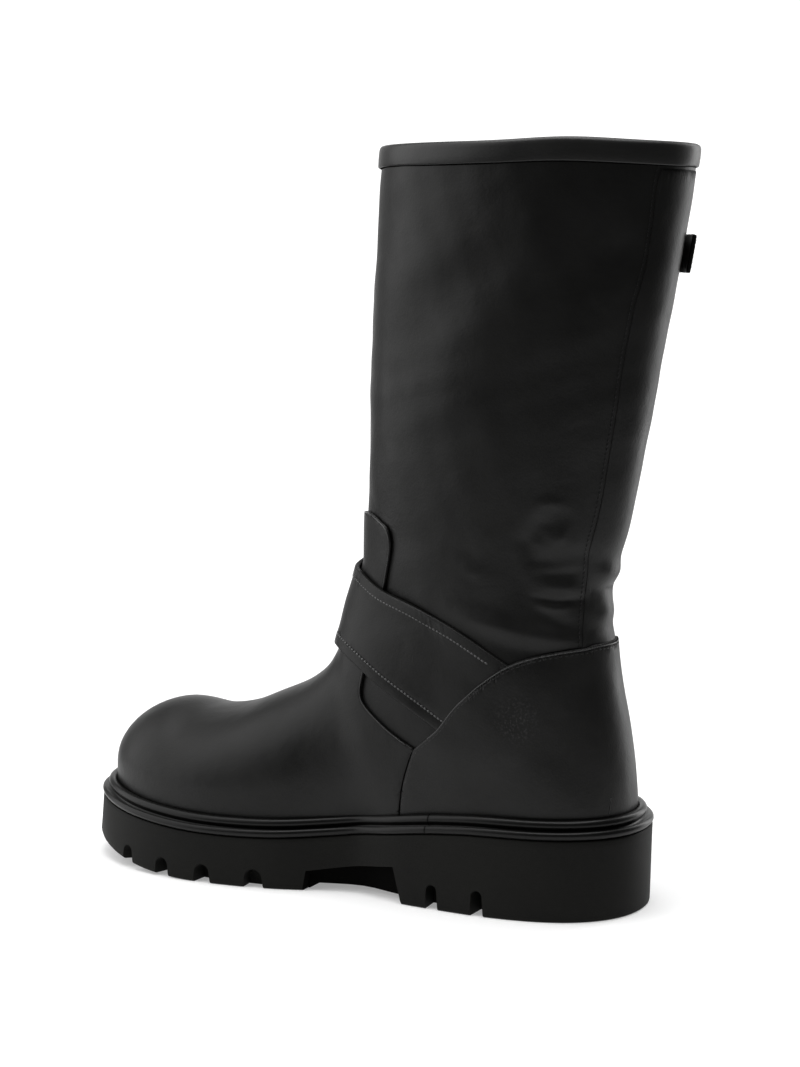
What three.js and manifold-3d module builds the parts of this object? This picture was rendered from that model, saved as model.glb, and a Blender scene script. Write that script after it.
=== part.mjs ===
// Buckle boot, right foot: a tall pull-on boot with a strap over the instep, a small strap near the
// collar and a thick lugged sole. Millimetres, +X to the toe, +Y to the inner side, +Z up.
// The origin is on the floor, under the middle of the heel seat.
import * as THREE from "three";
import { mergeVertices } from "three/addons/utils/BufferGeometryUtils.js";
import Module from "manifold-3d";

const wasm = await Module();
wasm.setup();

// Driving sizes of the last and the upper
const last_length = 277;        // upper, heel back to toe tip, at the welt
const seat_setback = 42;        // heel back to the origin
const ball_width = 96;          // upper, across the ball
const instep_height = 150;      // floor to the bend between vamp and shaft
const boot_height = 356;        // floor to the front of the collar, without its binding
const collar_depth = 157;       // collar, front to back
const collar_width = 104;       // collar, side to side
const wall = 2.2;               // leather and lining together
const clearance = 0.3;          // between touching pieces
const strap_play = 0.9;         // between a strap and what it crosses

// Driving sizes of the sole
const heel_height = 37.3;       // floor to the outsole's lip, at the heel
const ball_thickness = 23.7;    // the same at the ball
const toe_lip_height = 31.0;    // the same at the toe tip
const toe_spring = 12.5;        // floor to the outsole's underside, at the toe tip
const welt_reach = 10.0;        // how far the welt stands out from the upper
const welt_height = 8.4;        // how far it rises over the outsole's lip
const welt_back_drop = 0.08;    // share of its height that its back edge stays under its top
const welt_play = 2.5;          // from the upper's face to the back of the welt
const lip_inset = 0.6;          // outsole's wall behind the welt's edge
const tread_shift = 1.5;        // how far the outsole's foot is set forward of its lip
const tread_bevel = 1.2;        // bevel round the tread
const groove_depth = 9;         // cuts in the tread's edge
const groove_flare = 1.25;      // their width at the floor, as a share of that at the top
const channel_depth = 5;        // cuts inside the tread
const channel_width = 5;
const arch_back_height = 17;    // floor to the top of the arch's recesses, at the heel
const arch_front_height = 9.5;  // the same at the forefoot
const arch_depth = 6.5;         // how far the recesses go in from either side
const arch_lift = 2.5;          // floor to the sole between them
const insole_thickness = 3;
const insole_play = 0.9;        // past the clearance, inside the upper's wall

// Driving sizes of the overlays and straps
const overlay = 1.6;            // vamp and counter leather over the upper
const strap_leather = 2;
const strap_width = 29;         // instep strap, where it goes through its buckle
const strap_slope = 27;         // degrees, its fall towards the heel
const binding_height = 9;       // down the shaft
const binding_leather = 1.2;
const frame_bar = 3.2;          // instep buckle, bar thickness
const frame_length = 30;        // along the strap
const frame_play = 1;           // between the strap's edge and the frame
const prong_width = 3;
const keeper_width = 10;
const top_strap_width = 18;
const top_strap_level = 1.757;  // its middle, as a level of the upper
const top_bar = 2.4;            // top buckle, bar thickness
const top_frame_length = 20;

// Resolution of the solids
const upper_columns = 24;
const toe_rings = 5;
const plan_points = 60;
const tip_crowding = 0.35;      // how close the last toe ring comes to the tip
const overrun = 0.4;            // rows that an inner form goes on past the outer one
const overcut = 1;              // millimetres that a cutting solid goes past what it cuts
const weld = 1e-4;              // points closer than this are one

// The foot of the upper: one row for each section, from the toe tip to the ankle. Each section
// leans from an end on the instep line, front, to an end under or behind the foot, back. The x
// columns are shares of last_length from the heel back. A level is a share of instep_height up to
// 1, and of the shaft above it from 1 to 2. Half widths and shift are shares of ball_width, middle
// is where the section is widest, and round_front and round_back are the exponents of its curves.
const foot_columns = ["front_x", "front_level", "back_x", "back_level", "inner", "outer", "shift",
  "middle", "round_front", "round_back"];
const foot_rows = [
  [1.000, 0.465, 1.000, -0.100, 0.385, 0.365, 0.020, 0.70, 2.20, 2.60],
  [0.895, 0.500, 0.895, -0.100, 0.453, 0.448, 0.016, 0.69, 2.10, 2.80],
  [0.815, 0.488, 0.815, -0.100, 0.484, 0.479, 0.010, 0.68, 2.00, 3.00],
  [0.739, 0.512, 0.739, -0.100, 0.495, 0.505, 0.005, 0.64, 2.00, 3.00],
  [0.674, 0.560, 0.670, -0.090, 0.484, 0.510, 0.000, 0.59, 2.00, 3.00],
  [0.608, 0.615, 0.601, -0.070, 0.450, 0.495, 0.000, 0.55, 2.00, 2.80],
  [0.561, 0.683, 0.530, -0.020, 0.405, 0.469, 0.000, 0.50, 2.05, 2.30],
  [0.535, 0.765, 0.428, 0.050, 0.378, 0.427, 0.000, 0.45, 2.10, 2.00],
  [0.524, 0.840, 0.319, 0.020, 0.394, 0.406, 0.000, 0.46, 2.15, 2.60],
  [0.516, 0.905, 0.210, 0.000, 0.401, 0.401, 0.000, 0.46, 2.20, 2.80],
  [0.508, 0.958, 0.109, 0.020, 0.410, 0.410, 0.000, 0.46, 2.20, 2.80],
  [0.501, 1.002, 0.040, 0.100, 0.409, 0.409, 0.000, 0.46, 2.20, 2.60],
  [0.496, 1.035, 0.012, 0.235, 0.406, 0.406, 0.000, 0.46, 2.15, 2.40],
  [0.497, 1.072, 0.010, 0.385, 0.399, 0.399, 0.000, 0.47, 2.10, 2.20],
  [0.495, 1.115, 0.019, 0.535, 0.402, 0.402, 0.000, 0.48, 2.10, 2.10],
  [0.493, 1.159, 0.033, 0.675, 0.408, 0.408, 0.000, 0.49, 2.05, 2.05],
  [0.491, 1.202, 0.041, 0.805, 0.415, 0.415, 0.000, 0.50, 2.00, 2.00],
  [0.490, 1.245, 0.046, 0.927, 0.423, 0.423, 0.000, 0.50, 2.00, 2.00],
];

// The shaft: front_x is a share of last_length as above, depth a share of collar_depth, half a
// share of collar_width, and both levels run from 1 at the instep to 2 at the front of the collar.
const shaft_columns = ["front_x", "front_level", "depth", "back_level", "half"];
const shaft_rows = [
  [0.489, 1.293, 0.799, 1.029, 0.400],
  [0.487, 1.356, 0.831, 1.125, 0.412],
  [0.4855, 1.447, 0.867, 1.260, 0.427],
  [0.482, 1.567, 0.904, 1.428, 0.446],
  [0.476, 1.707, 0.942, 1.611, 0.467],
  [0.469, 1.856, 0.977, 1.797, 0.485],
  [0.460, 2.000, 1.000, 1.992, 0.500],
];

// How the toe closes: where each rounding starts, as a share of last_length, and its exponent
const toe_plan = { start: 0.76, power: 2.6 };
const toe_profile = { start: 0.875, power: 2.25 };

// The outsole's lip and underside: each row is a share of last_length and a share of a named rise
const lip_rows = [
  { x: -0.10, z: heel_height },
  { x: 0.10, z: heel_height },
  { x: 0.27, z: heel_height - 0.12 * (heel_height - ball_thickness) },
  { x: 0.52, z: ball_thickness + 0.17 * (heel_height - ball_thickness) },
  { x: 0.72, z: ball_thickness },
  { x: 0.88, z: ball_thickness + 0.34 * (toe_lip_height - ball_thickness) },
  { x: 1.03, z: toe_lip_height },
];
const tread_rise_start = 0.745;

const side_reach = 90;          // past either side of the upper, for cuts

function levelHeight(level) {
  if (level < 1) return level * instep_height;
  return instep_height + (level - 1) * (boot_height - instep_height);
}

function lengthwise(share) {
  return share * last_length - seat_setback;
}

function smooth(share) {
  const f = Math.min(1, Math.max(0, share));
  return f * f * (3 - 2 * f);
}

function named(columns, row) {
  return Object.fromEntries(columns.map((name, i) => [name, row[i]]));
}

function footSection(row) {
  const value = named(foot_columns, row);
  return {
    front_x: lengthwise(value.front_x),
    front_z: levelHeight(value.front_level),
    back_x: lengthwise(value.back_x),
    back_z: levelHeight(value.back_level),
    inner: value.inner * ball_width,
    outer: value.outer * ball_width,
    shift: value.shift * ball_width,
    middle: value.middle,
    round_front: value.round_front,
    round_back: value.round_back,
  };
}

function shaftSection(row) {
  const value = named(shaft_columns, row);
  return {
    front_x: lengthwise(value.front_x),
    front_z: levelHeight(value.front_level),
    back_x: lengthwise(value.front_x) - value.depth * collar_depth,
    back_z: levelHeight(value.back_level),
    inner: value.half * collar_width,
    outer: value.half * collar_width,
    shift: 0,
    middle: 0.5,
    round_front: 2,
    round_back: 2,
  };
}

const sections = foot_rows.map(footSection).concat(shaft_rows.map(shaftSection));
const last_row = sections.length - 1;

// A smooth curve through a list of values, straight past its ends
function smoothThrough(values, place) {
  const k = Math.min(Math.max(Math.floor(place), 0), values.length - 2);
  const f = place - k;
  const a = values[k];
  const b = values[k + 1];
  const before = k > 0 ? values[k - 1] : 2 * a - b;
  const after = k < values.length - 2 ? values[k + 2] : 2 * b - a;
  if (f > 1) return b + (f - 1) * (b - a);
  const slope_a = (b - before) / 2;
  const slope_b = (after - a) / 2;
  const f2 = f * f;
  const f3 = f2 * f;
  return (2 * f3 - 3 * f2 + 1) * a + (f3 - 2 * f2 + f) * slope_a
    + (3 * f2 - 2 * f3) * b + (f3 - f2) * slope_b;
}

const column_values = Object.fromEntries(
  Object.keys(sections[0]).map((name) => [name, sections.map((section) => section[name])]),
);

function closing(x, form) {
  const start = lengthwise(form.start);
  const share = Math.max(0, (x - start) / (lengthwise(1) - start));
  return Math.pow(Math.max(0, 1 - Math.pow(share, form.power)), 1 / form.power);
}

// A point of the upper's outer face; angle 0 is the front or top of a section, a quarter turn
// its inner side and half a turn its back or underside.
function facePoint(row, angle) {
  const at = (name) => smoothThrough(column_values[name], row);
  const front = new THREE.Vector2(at("front_x"), at("front_z"));
  const back = new THREE.Vector2(at("back_x"), at("back_z"));
  const middle = at("middle");
  const along = front.clone().sub(back);
  const centre = back.clone().addScaledVector(along, middle);
  const c = Math.cos(angle);
  const s = Math.sin(angle);
  const power = c > 0 ? at("round_front") : at("round_back");
  const reach = Math.pow(Math.pow(Math.abs(c), power) + Math.pow(Math.abs(s), power), -1 / power);
  const half = s > 0 ? at("inner") : at("outer");
  const rise = (c > 0 ? 1 - middle : middle) * reach * c * closing(centre.x, toe_profile);
  const wide = half * reach * s * closing(centre.x, toe_plan);
  return new THREE.Vector3(centre.x + along.x * rise, at("shift") + wide, centre.y + along.y * rise);
}

// The same point moved out from the face, or into the wall where offset is below 0
function upperPoint(row, angle, offset) {
  const point = facePoint(row, angle);
  const distance = typeof offset === "function" ? offset(point, angle, row) : offset;
  const step = Math.min(0.02, Math.max(row / 2, 0.0005));
  const turn = 0.01;
  const along = facePoint(row + step, angle).sub(facePoint(row - Math.min(step, row), angle));
  const around = facePoint(row, angle + turn).sub(facePoint(row, angle - turn));
  return point.addScaledVector(around.cross(along).normalize(), distance);
}

// The rows at which the whole upper has its rings: close at the toe, the bend and the heel
const ring_steps = [
  { from: 1, to: 4, step: 0.5 },
  { from: 4, to: 11, step: 1 },
  { from: 11, to: 13, step: 0.5 },
  { from: 13, to: 16, step: 1 },
  { from: 16, to: last_row + 0.5, step: 1 },
];
const shaft_start = 16;

function ringRows(shaft_step) {
  const rows = [];
  for (let i = 1; i <= toe_rings; i += 1) {
    rows.push(1 - Math.sin((1 - i / (toe_rings + tip_crowding)) * Math.PI / 2));
  }
  for (const { from, to, step } of ring_steps) {
    for (let row = from; row < to; row += from < shaft_start ? step : shaft_step) rows.push(row);
  }
  return rows;
}

function evenRows(from, to, count) {
  return Array.from({ length: count + 1 }, (_, i) => from + (to - from) * (i / count));
}

function manifoldOf(geometry) {
  const bare = geometry.clone();
  bare.deleteAttribute("normal");
  bare.deleteAttribute("uv");
  const merged = mergeVertices(bare, weld);
  return new wasm.Manifold(new wasm.Mesh({
    numProp: 3,
    vertProperties: new Float32Array(merged.attributes.position.array),
    triVerts: new Uint32Array(merged.index.array),
  }));
}

function solidFrom(points, triangles) {
  const geometry = new THREE.BufferGeometry();
  geometry.setAttribute("position", new THREE.Float32BufferAttribute(points.flatMap((p) => p.toArray()), 3));
  geometry.setIndex(triangles);
  return manifoldOf(geometry);
}

// Rings of equal length joined into a closed solid, with a fan to a point at either end
function solidOfRings(rings, first, last) {
  const size = rings[0].length;
  const points = [first, ...rings.flat(), last];
  const triangles = [];
  const vertex = (i, j) => 1 + i * size + (j % size);
  for (let j = 0; j < size; j += 1) {
    triangles.push(0, vertex(0, j + 1), vertex(0, j));
    triangles.push(points.length - 1, vertex(rings.length - 1, j), vertex(rings.length - 1, j + 1));
    for (let i = 0; i < rings.length - 1; i += 1) {
      triangles.push(vertex(i, j), vertex(i + 1, j + 1), vertex(i + 1, j));
      triangles.push(vertex(i, j), vertex(i, j + 1), vertex(i + 1, j + 1));
    }
  }
  return solidFrom(points, triangles);
}

function middleOf(points) {
  const sum = new THREE.Vector3();
  points.forEach((p) => sum.add(p));
  return sum.divideScalar(points.length);
}

// The closed form between the first and last of some rows, at an offset from the upper's face
function formOf(offset, rows, columns) {
  const rings = rows.map((row) => Array.from({ length: columns }, (_, j) => (
    upperPoint(row, (j / columns) * 2 * Math.PI, offset)
  )));
  return solidOfRings(rings, middleOf(rings[0]), middleOf(rings[rings.length - 1]));
}

// The whole form from the toe tip, and on past the collar by a share of its last row
function wholeForm(offset, beyond_collar, shaft_step = 1) {
  const rows = ringRows(shaft_step);
  if (beyond_collar > 0) rows.push(last_row + beyond_collar);
  const rings = rows.map((row) => Array.from({ length: upper_columns }, (_, j) => (
    upperPoint(row, (j / upper_columns) * 2 * Math.PI, offset)
  )));
  const centre = middleOf(rings[0]);
  const tip = new THREE.Vector3(lengthwise(1) + offset, centre.y, centre.z);
  return solidOfRings(rings, tip, middleOf(rings[rings.length - 1]));
}

// An outline in side view, through the thickness from one y to another
function sidePrism(points, from_y, to_y) {
  const geometry = new THREE.ExtrudeGeometry(new THREE.Shape(points), {
    depth: to_y - from_y,
    bevelEnabled: false,
    steps: 1,
  });
  geometry.rotateX(Math.PI / 2);
  geometry.translate(0, to_y, 0);
  return manifoldOf(geometry);
}

function sidePoints(rows) {
  return rows.map(([share, level]) => new THREE.Vector2(lengthwise(share), levelHeight(level)));
}

function lipHeight(x) {
  const share = (x + seat_setback) / last_length;
  let k = 0;
  while (k < lip_rows.length - 2 && share > lip_rows[k + 1].x) k += 1;
  const place = k + (share - lip_rows[k].x) / (lip_rows[k + 1].x - lip_rows[k].x);
  return smoothThrough(lip_rows.map((row) => row.z), Math.min(Math.max(place, 0), lip_rows.length - 1));
}

function treadHeight(x) {
  const start = lengthwise(tread_rise_start);
  const share = Math.max(0, (x - start) / (lengthwise(1) + welt_reach - start));
  return toe_spring * share * share;
}

// All that lies under a surface set over the outsole's lip
function underSurface(rise) {
  const from_x = lengthwise(0) - side_reach;
  const to_x = lengthwise(1) + side_reach;
  const step = 13;
  const points = [new THREE.Vector2(from_x, -side_reach)];
  const count = Math.round((to_x - from_x) / step);
  for (let i = 0; i <= count; i += 1) {
    const x = from_x + (to_x - from_x) * (i / count);
    points.push(new THREE.Vector2(x, lipHeight(x) + rise));
  }
  points.push(new THREE.Vector2(to_x, -side_reach));
  return sidePrism(points, -side_reach, side_reach);
}

// The place between two others from which a test holds
function bisect(low, high, isPast) {
  let a = low;
  let b = high;
  for (let i = 0; i < 40; i += 1) {
    const m = (a + b) / 2;
    if (isPast(m)) b = m;
    else a = m;
  }
  return (a + b) / 2;
}

const loop_steps = 36;

// Where the upper's face is at a rise over the outsole's lip: the toe tip, then the inner side to
// the heel back, then the outer side to the toe
function seamLoop(rise) {
  const over = (point) => point.z - lipHeight(point.x) - rise;
  const toe_row = bisect(0.001, 2, (row) => over(facePoint(row, Math.PI)) < 0);
  const heel_row = bisect(8, 16, (row) => over(facePoint(row, Math.PI)) > 0);
  const side = (row, sign) => {
    const angle = bisect(Math.PI / 2, Math.PI, (a) => over(facePoint(row, sign * a)) < 0);
    return facePoint(row, sign * angle);
  };
  const loop = [];
  for (let i = 0; i < loop_steps; i += 1) {
    const share = (1 - Math.cos((i / loop_steps) * Math.PI)) / 2;
    loop.push(side(toe_row + (heel_row - toe_row) * share, 1));
  }
  for (let i = 0; i < loop_steps; i += 1) {
    const share = (1 + Math.cos((i / loop_steps) * Math.PI)) / 2;
    loop.push(side(toe_row + (heel_row - toe_row) * share, -1));
  }
  return loop.map((p) => new THREE.Vector2(p.x, p.y));
}

// A closed plan curve through the seam's points, evenly spaced from the toe tip round by the
// inner side, and its outward direction at each point
function planLoop(rise) {
  const curve = new THREE.CatmullRomCurve3(
    seamLoop(rise).map((p) => new THREE.Vector3(p.x, p.y, 0)), true, "centripetal");
  curve.arcLengthDivisions = 400;
  return Array.from({ length: plan_points }, (_, i) => {
    const point = curve.getPointAt(i / plan_points);
    const tangent = curve.getTangentAt(i / plan_points);
    return { x: point.x, y: point.y, out_x: tangent.y, out_y: -tangent.x };
  });
}
const plan = planLoop(0);
const plan_over_welt = planLoop(welt_height);

function planPoint(i, reach, loop = plan) {
  const p = loop[((i % plan_points) + plan_points) % plan_points];
  return new THREE.Vector2(p.x + p.out_x * reach, p.y + p.out_y * reach);
}

// A slab with the plan loop's shape: each layer has a reach past the seam, a shift and a height
function planSlab(layers) {
  const half = plan_points / 2;
  const ring = ({ reach, shift, height }) => Array.from({ length: plan_points }, (_, i) => {
    const p = planPoint(i, reach);
    return new THREE.Vector3(p.x + shift, p.y, height(p.x + shift));
  });
  const rings = layers.map(ring);
  const points = rings.flat();
  const triangles = [];
  const vertex = (i, j) => i * plan_points + ((j + plan_points) % plan_points);
  const top = layers.length - 1;
  for (let j = 0; j < plan_points; j += 1) {
    for (let i = 0; i < top; i += 1) {
      triangles.push(vertex(i, j), vertex(i, j + 1), vertex(i + 1, j + 1));
      triangles.push(vertex(i, j), vertex(i + 1, j + 1), vertex(i + 1, j));
    }
  }
  for (let j = 0; j < half; j += 1) {
    for (const [layer, flip] of [[0, true], [top, false]]) {
      const quad = [vertex(layer, j), vertex(layer, j + 1), vertex(layer, -j - 1), vertex(layer, -j)];
      const faces = j === 0 ? [[quad[0], quad[1], quad[2]]]
        : j === half - 1 ? [[quad[0], quad[1], quad[3]]]
          : [[quad[0], quad[1], quad[2]], [quad[0], quad[2], quad[3]]];
      faces.forEach(([a, b, c]) => triangles.push(...(flip ? [a, c, b] : [a, b, c])));
    }
  }
  return solidFrom(points, triangles);
}

// An arch-topped cut in the tread, along its own y axis, turned and put at a place on the floor
function treadCut({ x, y, turn, width, depth, length, round }) {
  const shape = new THREE.Shape();
  const half = width / 2;
  const under = -2 * tread_bevel;
  const foot = half * (round ? groove_flare : 1);
  shape.moveTo(-foot, under);
  shape.lineTo(foot, under);
  if (round) {
    shape.lineTo(half, depth - half);
    shape.absarc(0, depth - half, half, 0, Math.PI, false);
  } else {
    shape.lineTo(half, depth);
    shape.lineTo(-half, depth);
  }
  shape.lineTo(-foot, under);
  const geometry = new THREE.ExtrudeGeometry(shape, {
    depth: length, bevelEnabled: false, curveSegments: 4,
  });
  geometry.rotateX(Math.PI / 2);
  geometry.translate(0, length / 2, 0);
  geometry.rotateZ(THREE.MathUtils.degToRad(turn));
  geometry.translate(x, y, treadHeight(x));
  return manifoldOf(geometry);
}

// Cuts in the tread's edge: x as a share of last_length, y the middle of the cut's run as a share
// of ball_width, turn in degrees on the inner side, width and depth as shares of groove_depth
const edge_cut_columns = ["x", "y", "turn", "width", "depth"];
const edge_cut_rows = [
  [0.297, 0.54, 4, 0.62, 1.28],
  [0.215, 0.54, -2, 0.62, 1.32],
  [0.628, 0.65, 6, 1.00, 1.00],
  [0.731, 0.67, -4, 0.90, 1.00],
  [0.820, 0.66, -14, 0.80, 0.95],
  [0.915, 0.60, -34, 0.75, 0.80],
];
const edge_cut_run = 34;
// Cross cuts between the middle lugs, as shares of last_length
const cross_cut_rows = [0.072, 0.256, 0.680, 0.776, 0.868];
const cross_cut_run = 34;
// Long cuts on either side of the middle lugs: from, to and y, shares as above
const long_cut_rows = [
  { from: 0.060, to: 0.350, y: 0.17 },
  { from: 0.557, to: 0.888, y: 0.19 },
];
const long_cut_pieces = 4;      // each follows the tread's rise
// The arch's recesses in side view, as shares of last_length: back and front, at the floor and at
// the top
const arch_back = { foot: 0.356, top: 0.374 };
const arch_front = { foot: 0.548, top: 0.541 };

// What the arch takes out of the sole: a recess on either side of a middle with the sole's own
// plan, and a low gap under that middle
function archCut(reach) {
  const side = [
    [arch_back.foot, -overcut], [arch_front.foot, -overcut],
    [arch_front.top, arch_front_height], [arch_back.top, arch_back_height],
  ].map(([share, height]) => new THREE.Vector2(lengthwise(share), height));
  const middle = planSlab([
    { reach: reach - arch_depth, shift: 0, height: () => arch_lift },
    { reach: reach - arch_depth, shift: 0, height: () => heel_height },
  ]);
  return sidePrism(side, -side_reach, side_reach).subtract(middle);
}

function makeOutsole() {
  const reach = welt_reach - lip_inset;
  let solid = planSlab([
    { reach: reach - tread_bevel, shift: tread_shift, height: treadHeight },
    { reach, shift: tread_shift, height: (x) => treadHeight(x) + tread_bevel },
    { reach, shift: 0, height: lipHeight },
  ]);
  const cuts = [];
  for (const row of edge_cut_rows) {
    const cut = named(edge_cut_columns, row);
    for (const side of [1, -1]) {
      cuts.push(treadCut({
        x: lengthwise(cut.x),
        y: side * cut.y * ball_width,
        turn: side * cut.turn,
        width: cut.width * groove_depth,
        depth: cut.depth * groove_depth,
        length: edge_cut_run,
        round: true,
      }));
    }
  }
  for (const share of cross_cut_rows) {
    cuts.push(treadCut({
      x: lengthwise(share), y: 0, turn: 0, width: channel_width, depth: channel_depth,
      length: cross_cut_run, round: false,
    }));
  }
  for (const { from, to, y } of long_cut_rows) {
    for (const side of [1, -1]) {
      for (let i = 0; i < long_cut_pieces; i += 1) {
        const a = lengthwise(from + (to - from) * (i / long_cut_pieces));
        const b = lengthwise(from + (to - from) * ((i + 1) / long_cut_pieces));
        cuts.push(treadCut({
          x: (a + b) / 2, y: side * y * ball_width, turn: 90, width: channel_width,
          depth: channel_depth, length: b - a + overcut, round: false,
        }));
      }
    }
  }
  cuts.push(archCut(reach));
  for (const cut of cuts) solid = solid.subtract(cut);
  return solid;
}

// The welt's section: a wide bead at the outsole's edge and a higher one against the upper. Reach
// is a share of welt_reach, rise a share of welt_height.
const welt_rows = [
  [0.96, 0.00], [1.00, 0.12], [0.98, 0.38], [0.68, 0.50], [0.60, 0.66], [0.56, 0.90], [0.34, 1.00],
];

// Equal sections joined into a closed ring
function ringAround(rings) {
  const size = rings[0].length;
  const triangles = [];
  for (let i = 0; i < rings.length; i += 1) {
    const next = (i + 1) % rings.length;
    for (let j = 0; j < size; j += 1) {
      const k = (j + 1) % size;
      triangles.push(i * size + j, next * size + j, next * size + k);
      triangles.push(i * size + j, next * size + k, i * size + k);
    }
  }
  return solidFrom(rings.flat(), triangles);
}

function makeWelt() {
  const rings = Array.from({ length: plan_points }, (_, i) => {
    const foot = planPoint(i, welt_play);
    const top = planPoint(i, welt_play, plan_over_welt);
    const at = (p, rise) => new THREE.Vector3(p.x, p.y, lipHeight(p.x) + clearance + rise * welt_height);
    return [at(foot, 0), ...welt_rows.map(([reach, rise]) => at(planPoint(i, reach * welt_reach), rise)),
      at(top, welt_rows[welt_rows.length - 1][1] - welt_back_drop)];
  });
  return ringAround(rings);
}

// Outlines in side view: x as a share of last_length from the heel back, and a level
const counter_outline = [
  [0.374, 0.067], [0.371, 0.270], [0.366, 0.347], [0.357, 0.411], [0.343, 0.480], [0.321, 0.513],
  [0.297, 0.549], [0.268, 0.619], [0.236, 0.678], [0.201, 0.731], [0.171, 0.768], [0.136, 0.793],
  [0.093, 0.810], [0.047, 0.820], [-0.120, 0.826], [-0.120, 0.067],
];
const vamp_outline = [
  [0.374, 0.067], [0.371, 0.270], [0.366, 0.347], [0.357, 0.411], [0.341, 0.482], [0.370, 0.507],
  [0.402, 0.541], [0.441, 0.594], [0.451, 0.617], [0.454, 0.641], [0.450, 0.690], [0.435, 0.833],
  [0.417, 0.965], [0.404, 1.036], [0.398, 1.080], [0.400, 1.103], [0.408, 1.121], [0.420, 1.129],
  [0.650, 1.138], [1.200, 1.000], [1.200, 0.067],
];
const inner_strap_outline = [
  [0.171, 0.767], [0.220, 0.822], [0.266, 0.868], [0.312, 0.904], [0.359, 0.936], [0.416, 0.965],
  [0.447, 0.990], [0.480, 1.008], [0.515, 1.022], [0.640, 1.060], [0.660, 0.860], [0.580, 0.812],
  [0.502, 0.755], [0.454, 0.711], [0.399, 0.654], [0.349, 0.604], [0.297, 0.549],
];
const strap_crest = { top: [0.515, 1.022], low: [0.580, 0.812] };

// What the pieces beside the counter leave free for it
const counter_reach = sidePoints(counter_outline).map((point) => (
  new THREE.Vector2(point.x + clearance, point.y + clearance)
));
const counter_gap = sidePrism(counter_reach, -side_reach, side_reach);

// How high things lie over the upper's face
const on_face = clearance;
const on_overlay = clearance + overlay + strap_play;

// A buckled strap on the outer side: the middle of its buckle and its direction in side view, the
// sizes of its frame, how high its underside lies, and the rows and columns its pieces are made on
function strapSet({ x, level, slope, ...sizes }) {
  const turn = THREE.MathUtils.degToRad(slope);
  return {
    middle: new THREE.Vector2(lengthwise(x), levelHeight(level)),
    along: new THREE.Vector2(Math.cos(turn), Math.sin(turn)),
    across: new THREE.Vector2(-Math.sin(turn), Math.cos(turn)),
    ...sizes,
  };
}

const instep_set = strapSet({
  x: 0.361, level: 0.763, slope: strap_slope, width: strap_width, bar: frame_bar, length: frame_length,
  base: on_overlay, rows: [4.5, 14, 24], columns: 48,
});
const top_set = strapSet({
  x: 0.100, level: top_strap_level, slope: 0, width: top_strap_width, bar: top_bar,
  length: top_frame_length, base: on_face, rows: [21.5, 24, 5], columns: 64,
});
const tail_end = -53;           // instep strap's tail, from the middle of its buckle
const keeper_middle = -42;
const hump_half = 18;           // a strap's rise over its buckle's rear bar, either side of it
const hump_flat = 10;

function onStrap(set, along, across) {
  return set.middle.clone().addScaledVector(set.along, along).addScaledVector(set.across, across);
}

function strapBox(set, from, to, low, high = -low) {
  return [onStrap(set, from, low), onStrap(set, to, low), onStrap(set, to, high), onStrap(set, from, high)];
}

function alongStrap(set, point) {
  return new THREE.Vector2(point.x, point.z).sub(set.middle).dot(set.along);
}

function humpOver(set, point) {
  const from_bar = alongStrap(set, point) + set.length / 2 - set.bar / 2;
  return (set.bar + clearance) * smooth((hump_half - Math.abs(from_bar)) / (hump_half - hump_flat));
}

// The instep strap's underside: down to the shaft before it goes under the counter on the inner
// side, and over the rear bar of the buckle on the outer side
const strap_drop = { from: lengthwise(0.34), to: lengthwise(0.46) };
function strapUnder(point) {
  if (point.y > 0) {
    const share = smooth((point.x - strap_drop.from) / (strap_drop.to - strap_drop.from));
    return on_face + (on_overlay - on_face) * share;
  }
  return on_overlay + humpOver(instep_set, point);
}

function strapTop(point) {
  const thickness = point.y > 0 && point.x < strap_drop.from ? overlay : strap_leather;
  return strapUnder(point) + thickness;
}

// A piece of leather or metal between two offsets from the upper's face, inside a side outline
function layer({ low, high, outline, from_y = -side_reach, to_y = side_reach, rows, columns }) {
  const grid = rows ? evenRows(rows[0], rows[1], rows[2]) : null;
  const outer = grid ? formOf(high, grid, columns) : wholeForm(high, 0);
  const inner_grid = grid ? [grid[0] - overrun, ...grid, grid[grid.length - 1] + overrun] : null;
  const inner = grid ? formOf(low, inner_grid, columns) : wholeForm(low, overrun);
  return outer.subtract(inner).intersect(sidePrism(outline, from_y, to_y));
}

const floor_cut = underSurface(clearance);
const welt_cut = underSurface(clearance + welt_height + clearance);

function makeUpper() {
  const inside = wholeForm(-wall, overrun, 2);
  return wholeForm(0, 0).subtract(inside).subtract(floor_cut);
}

function makeInsole() {
  const reach = -(wall + clearance + insole_play);
  return planSlab([
    { reach, shift: 0, height: (x) => lipHeight(x) + clearance },
    { reach, shift: 0, height: (x) => lipHeight(x) + clearance + insole_thickness },
  ]);
}

const upper = makeUpper();
const outsole = makeOutsole();
const welt = makeWelt();
const insole = makeInsole();

// Counter and vamp lie on the upper and stop above the welt, edge to edge
function makeCounter() {
  return layer({ low: on_face, high: on_face + overlay, outline: sidePoints(counter_outline) })
    .subtract(welt_cut);
}

function makeVamp() {
  return layer({ low: on_face, high: on_face + overlay, outline: sidePoints(vamp_outline) })
    .subtract(counter_gap).subtract(welt_cut);
}

// The instep strap runs from the counter on the inner side, over the instep, through the buckle
// on the outer side to its tail
const inner_grid = { rows: [4.5, 16, 18], columns: 32 };

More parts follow.
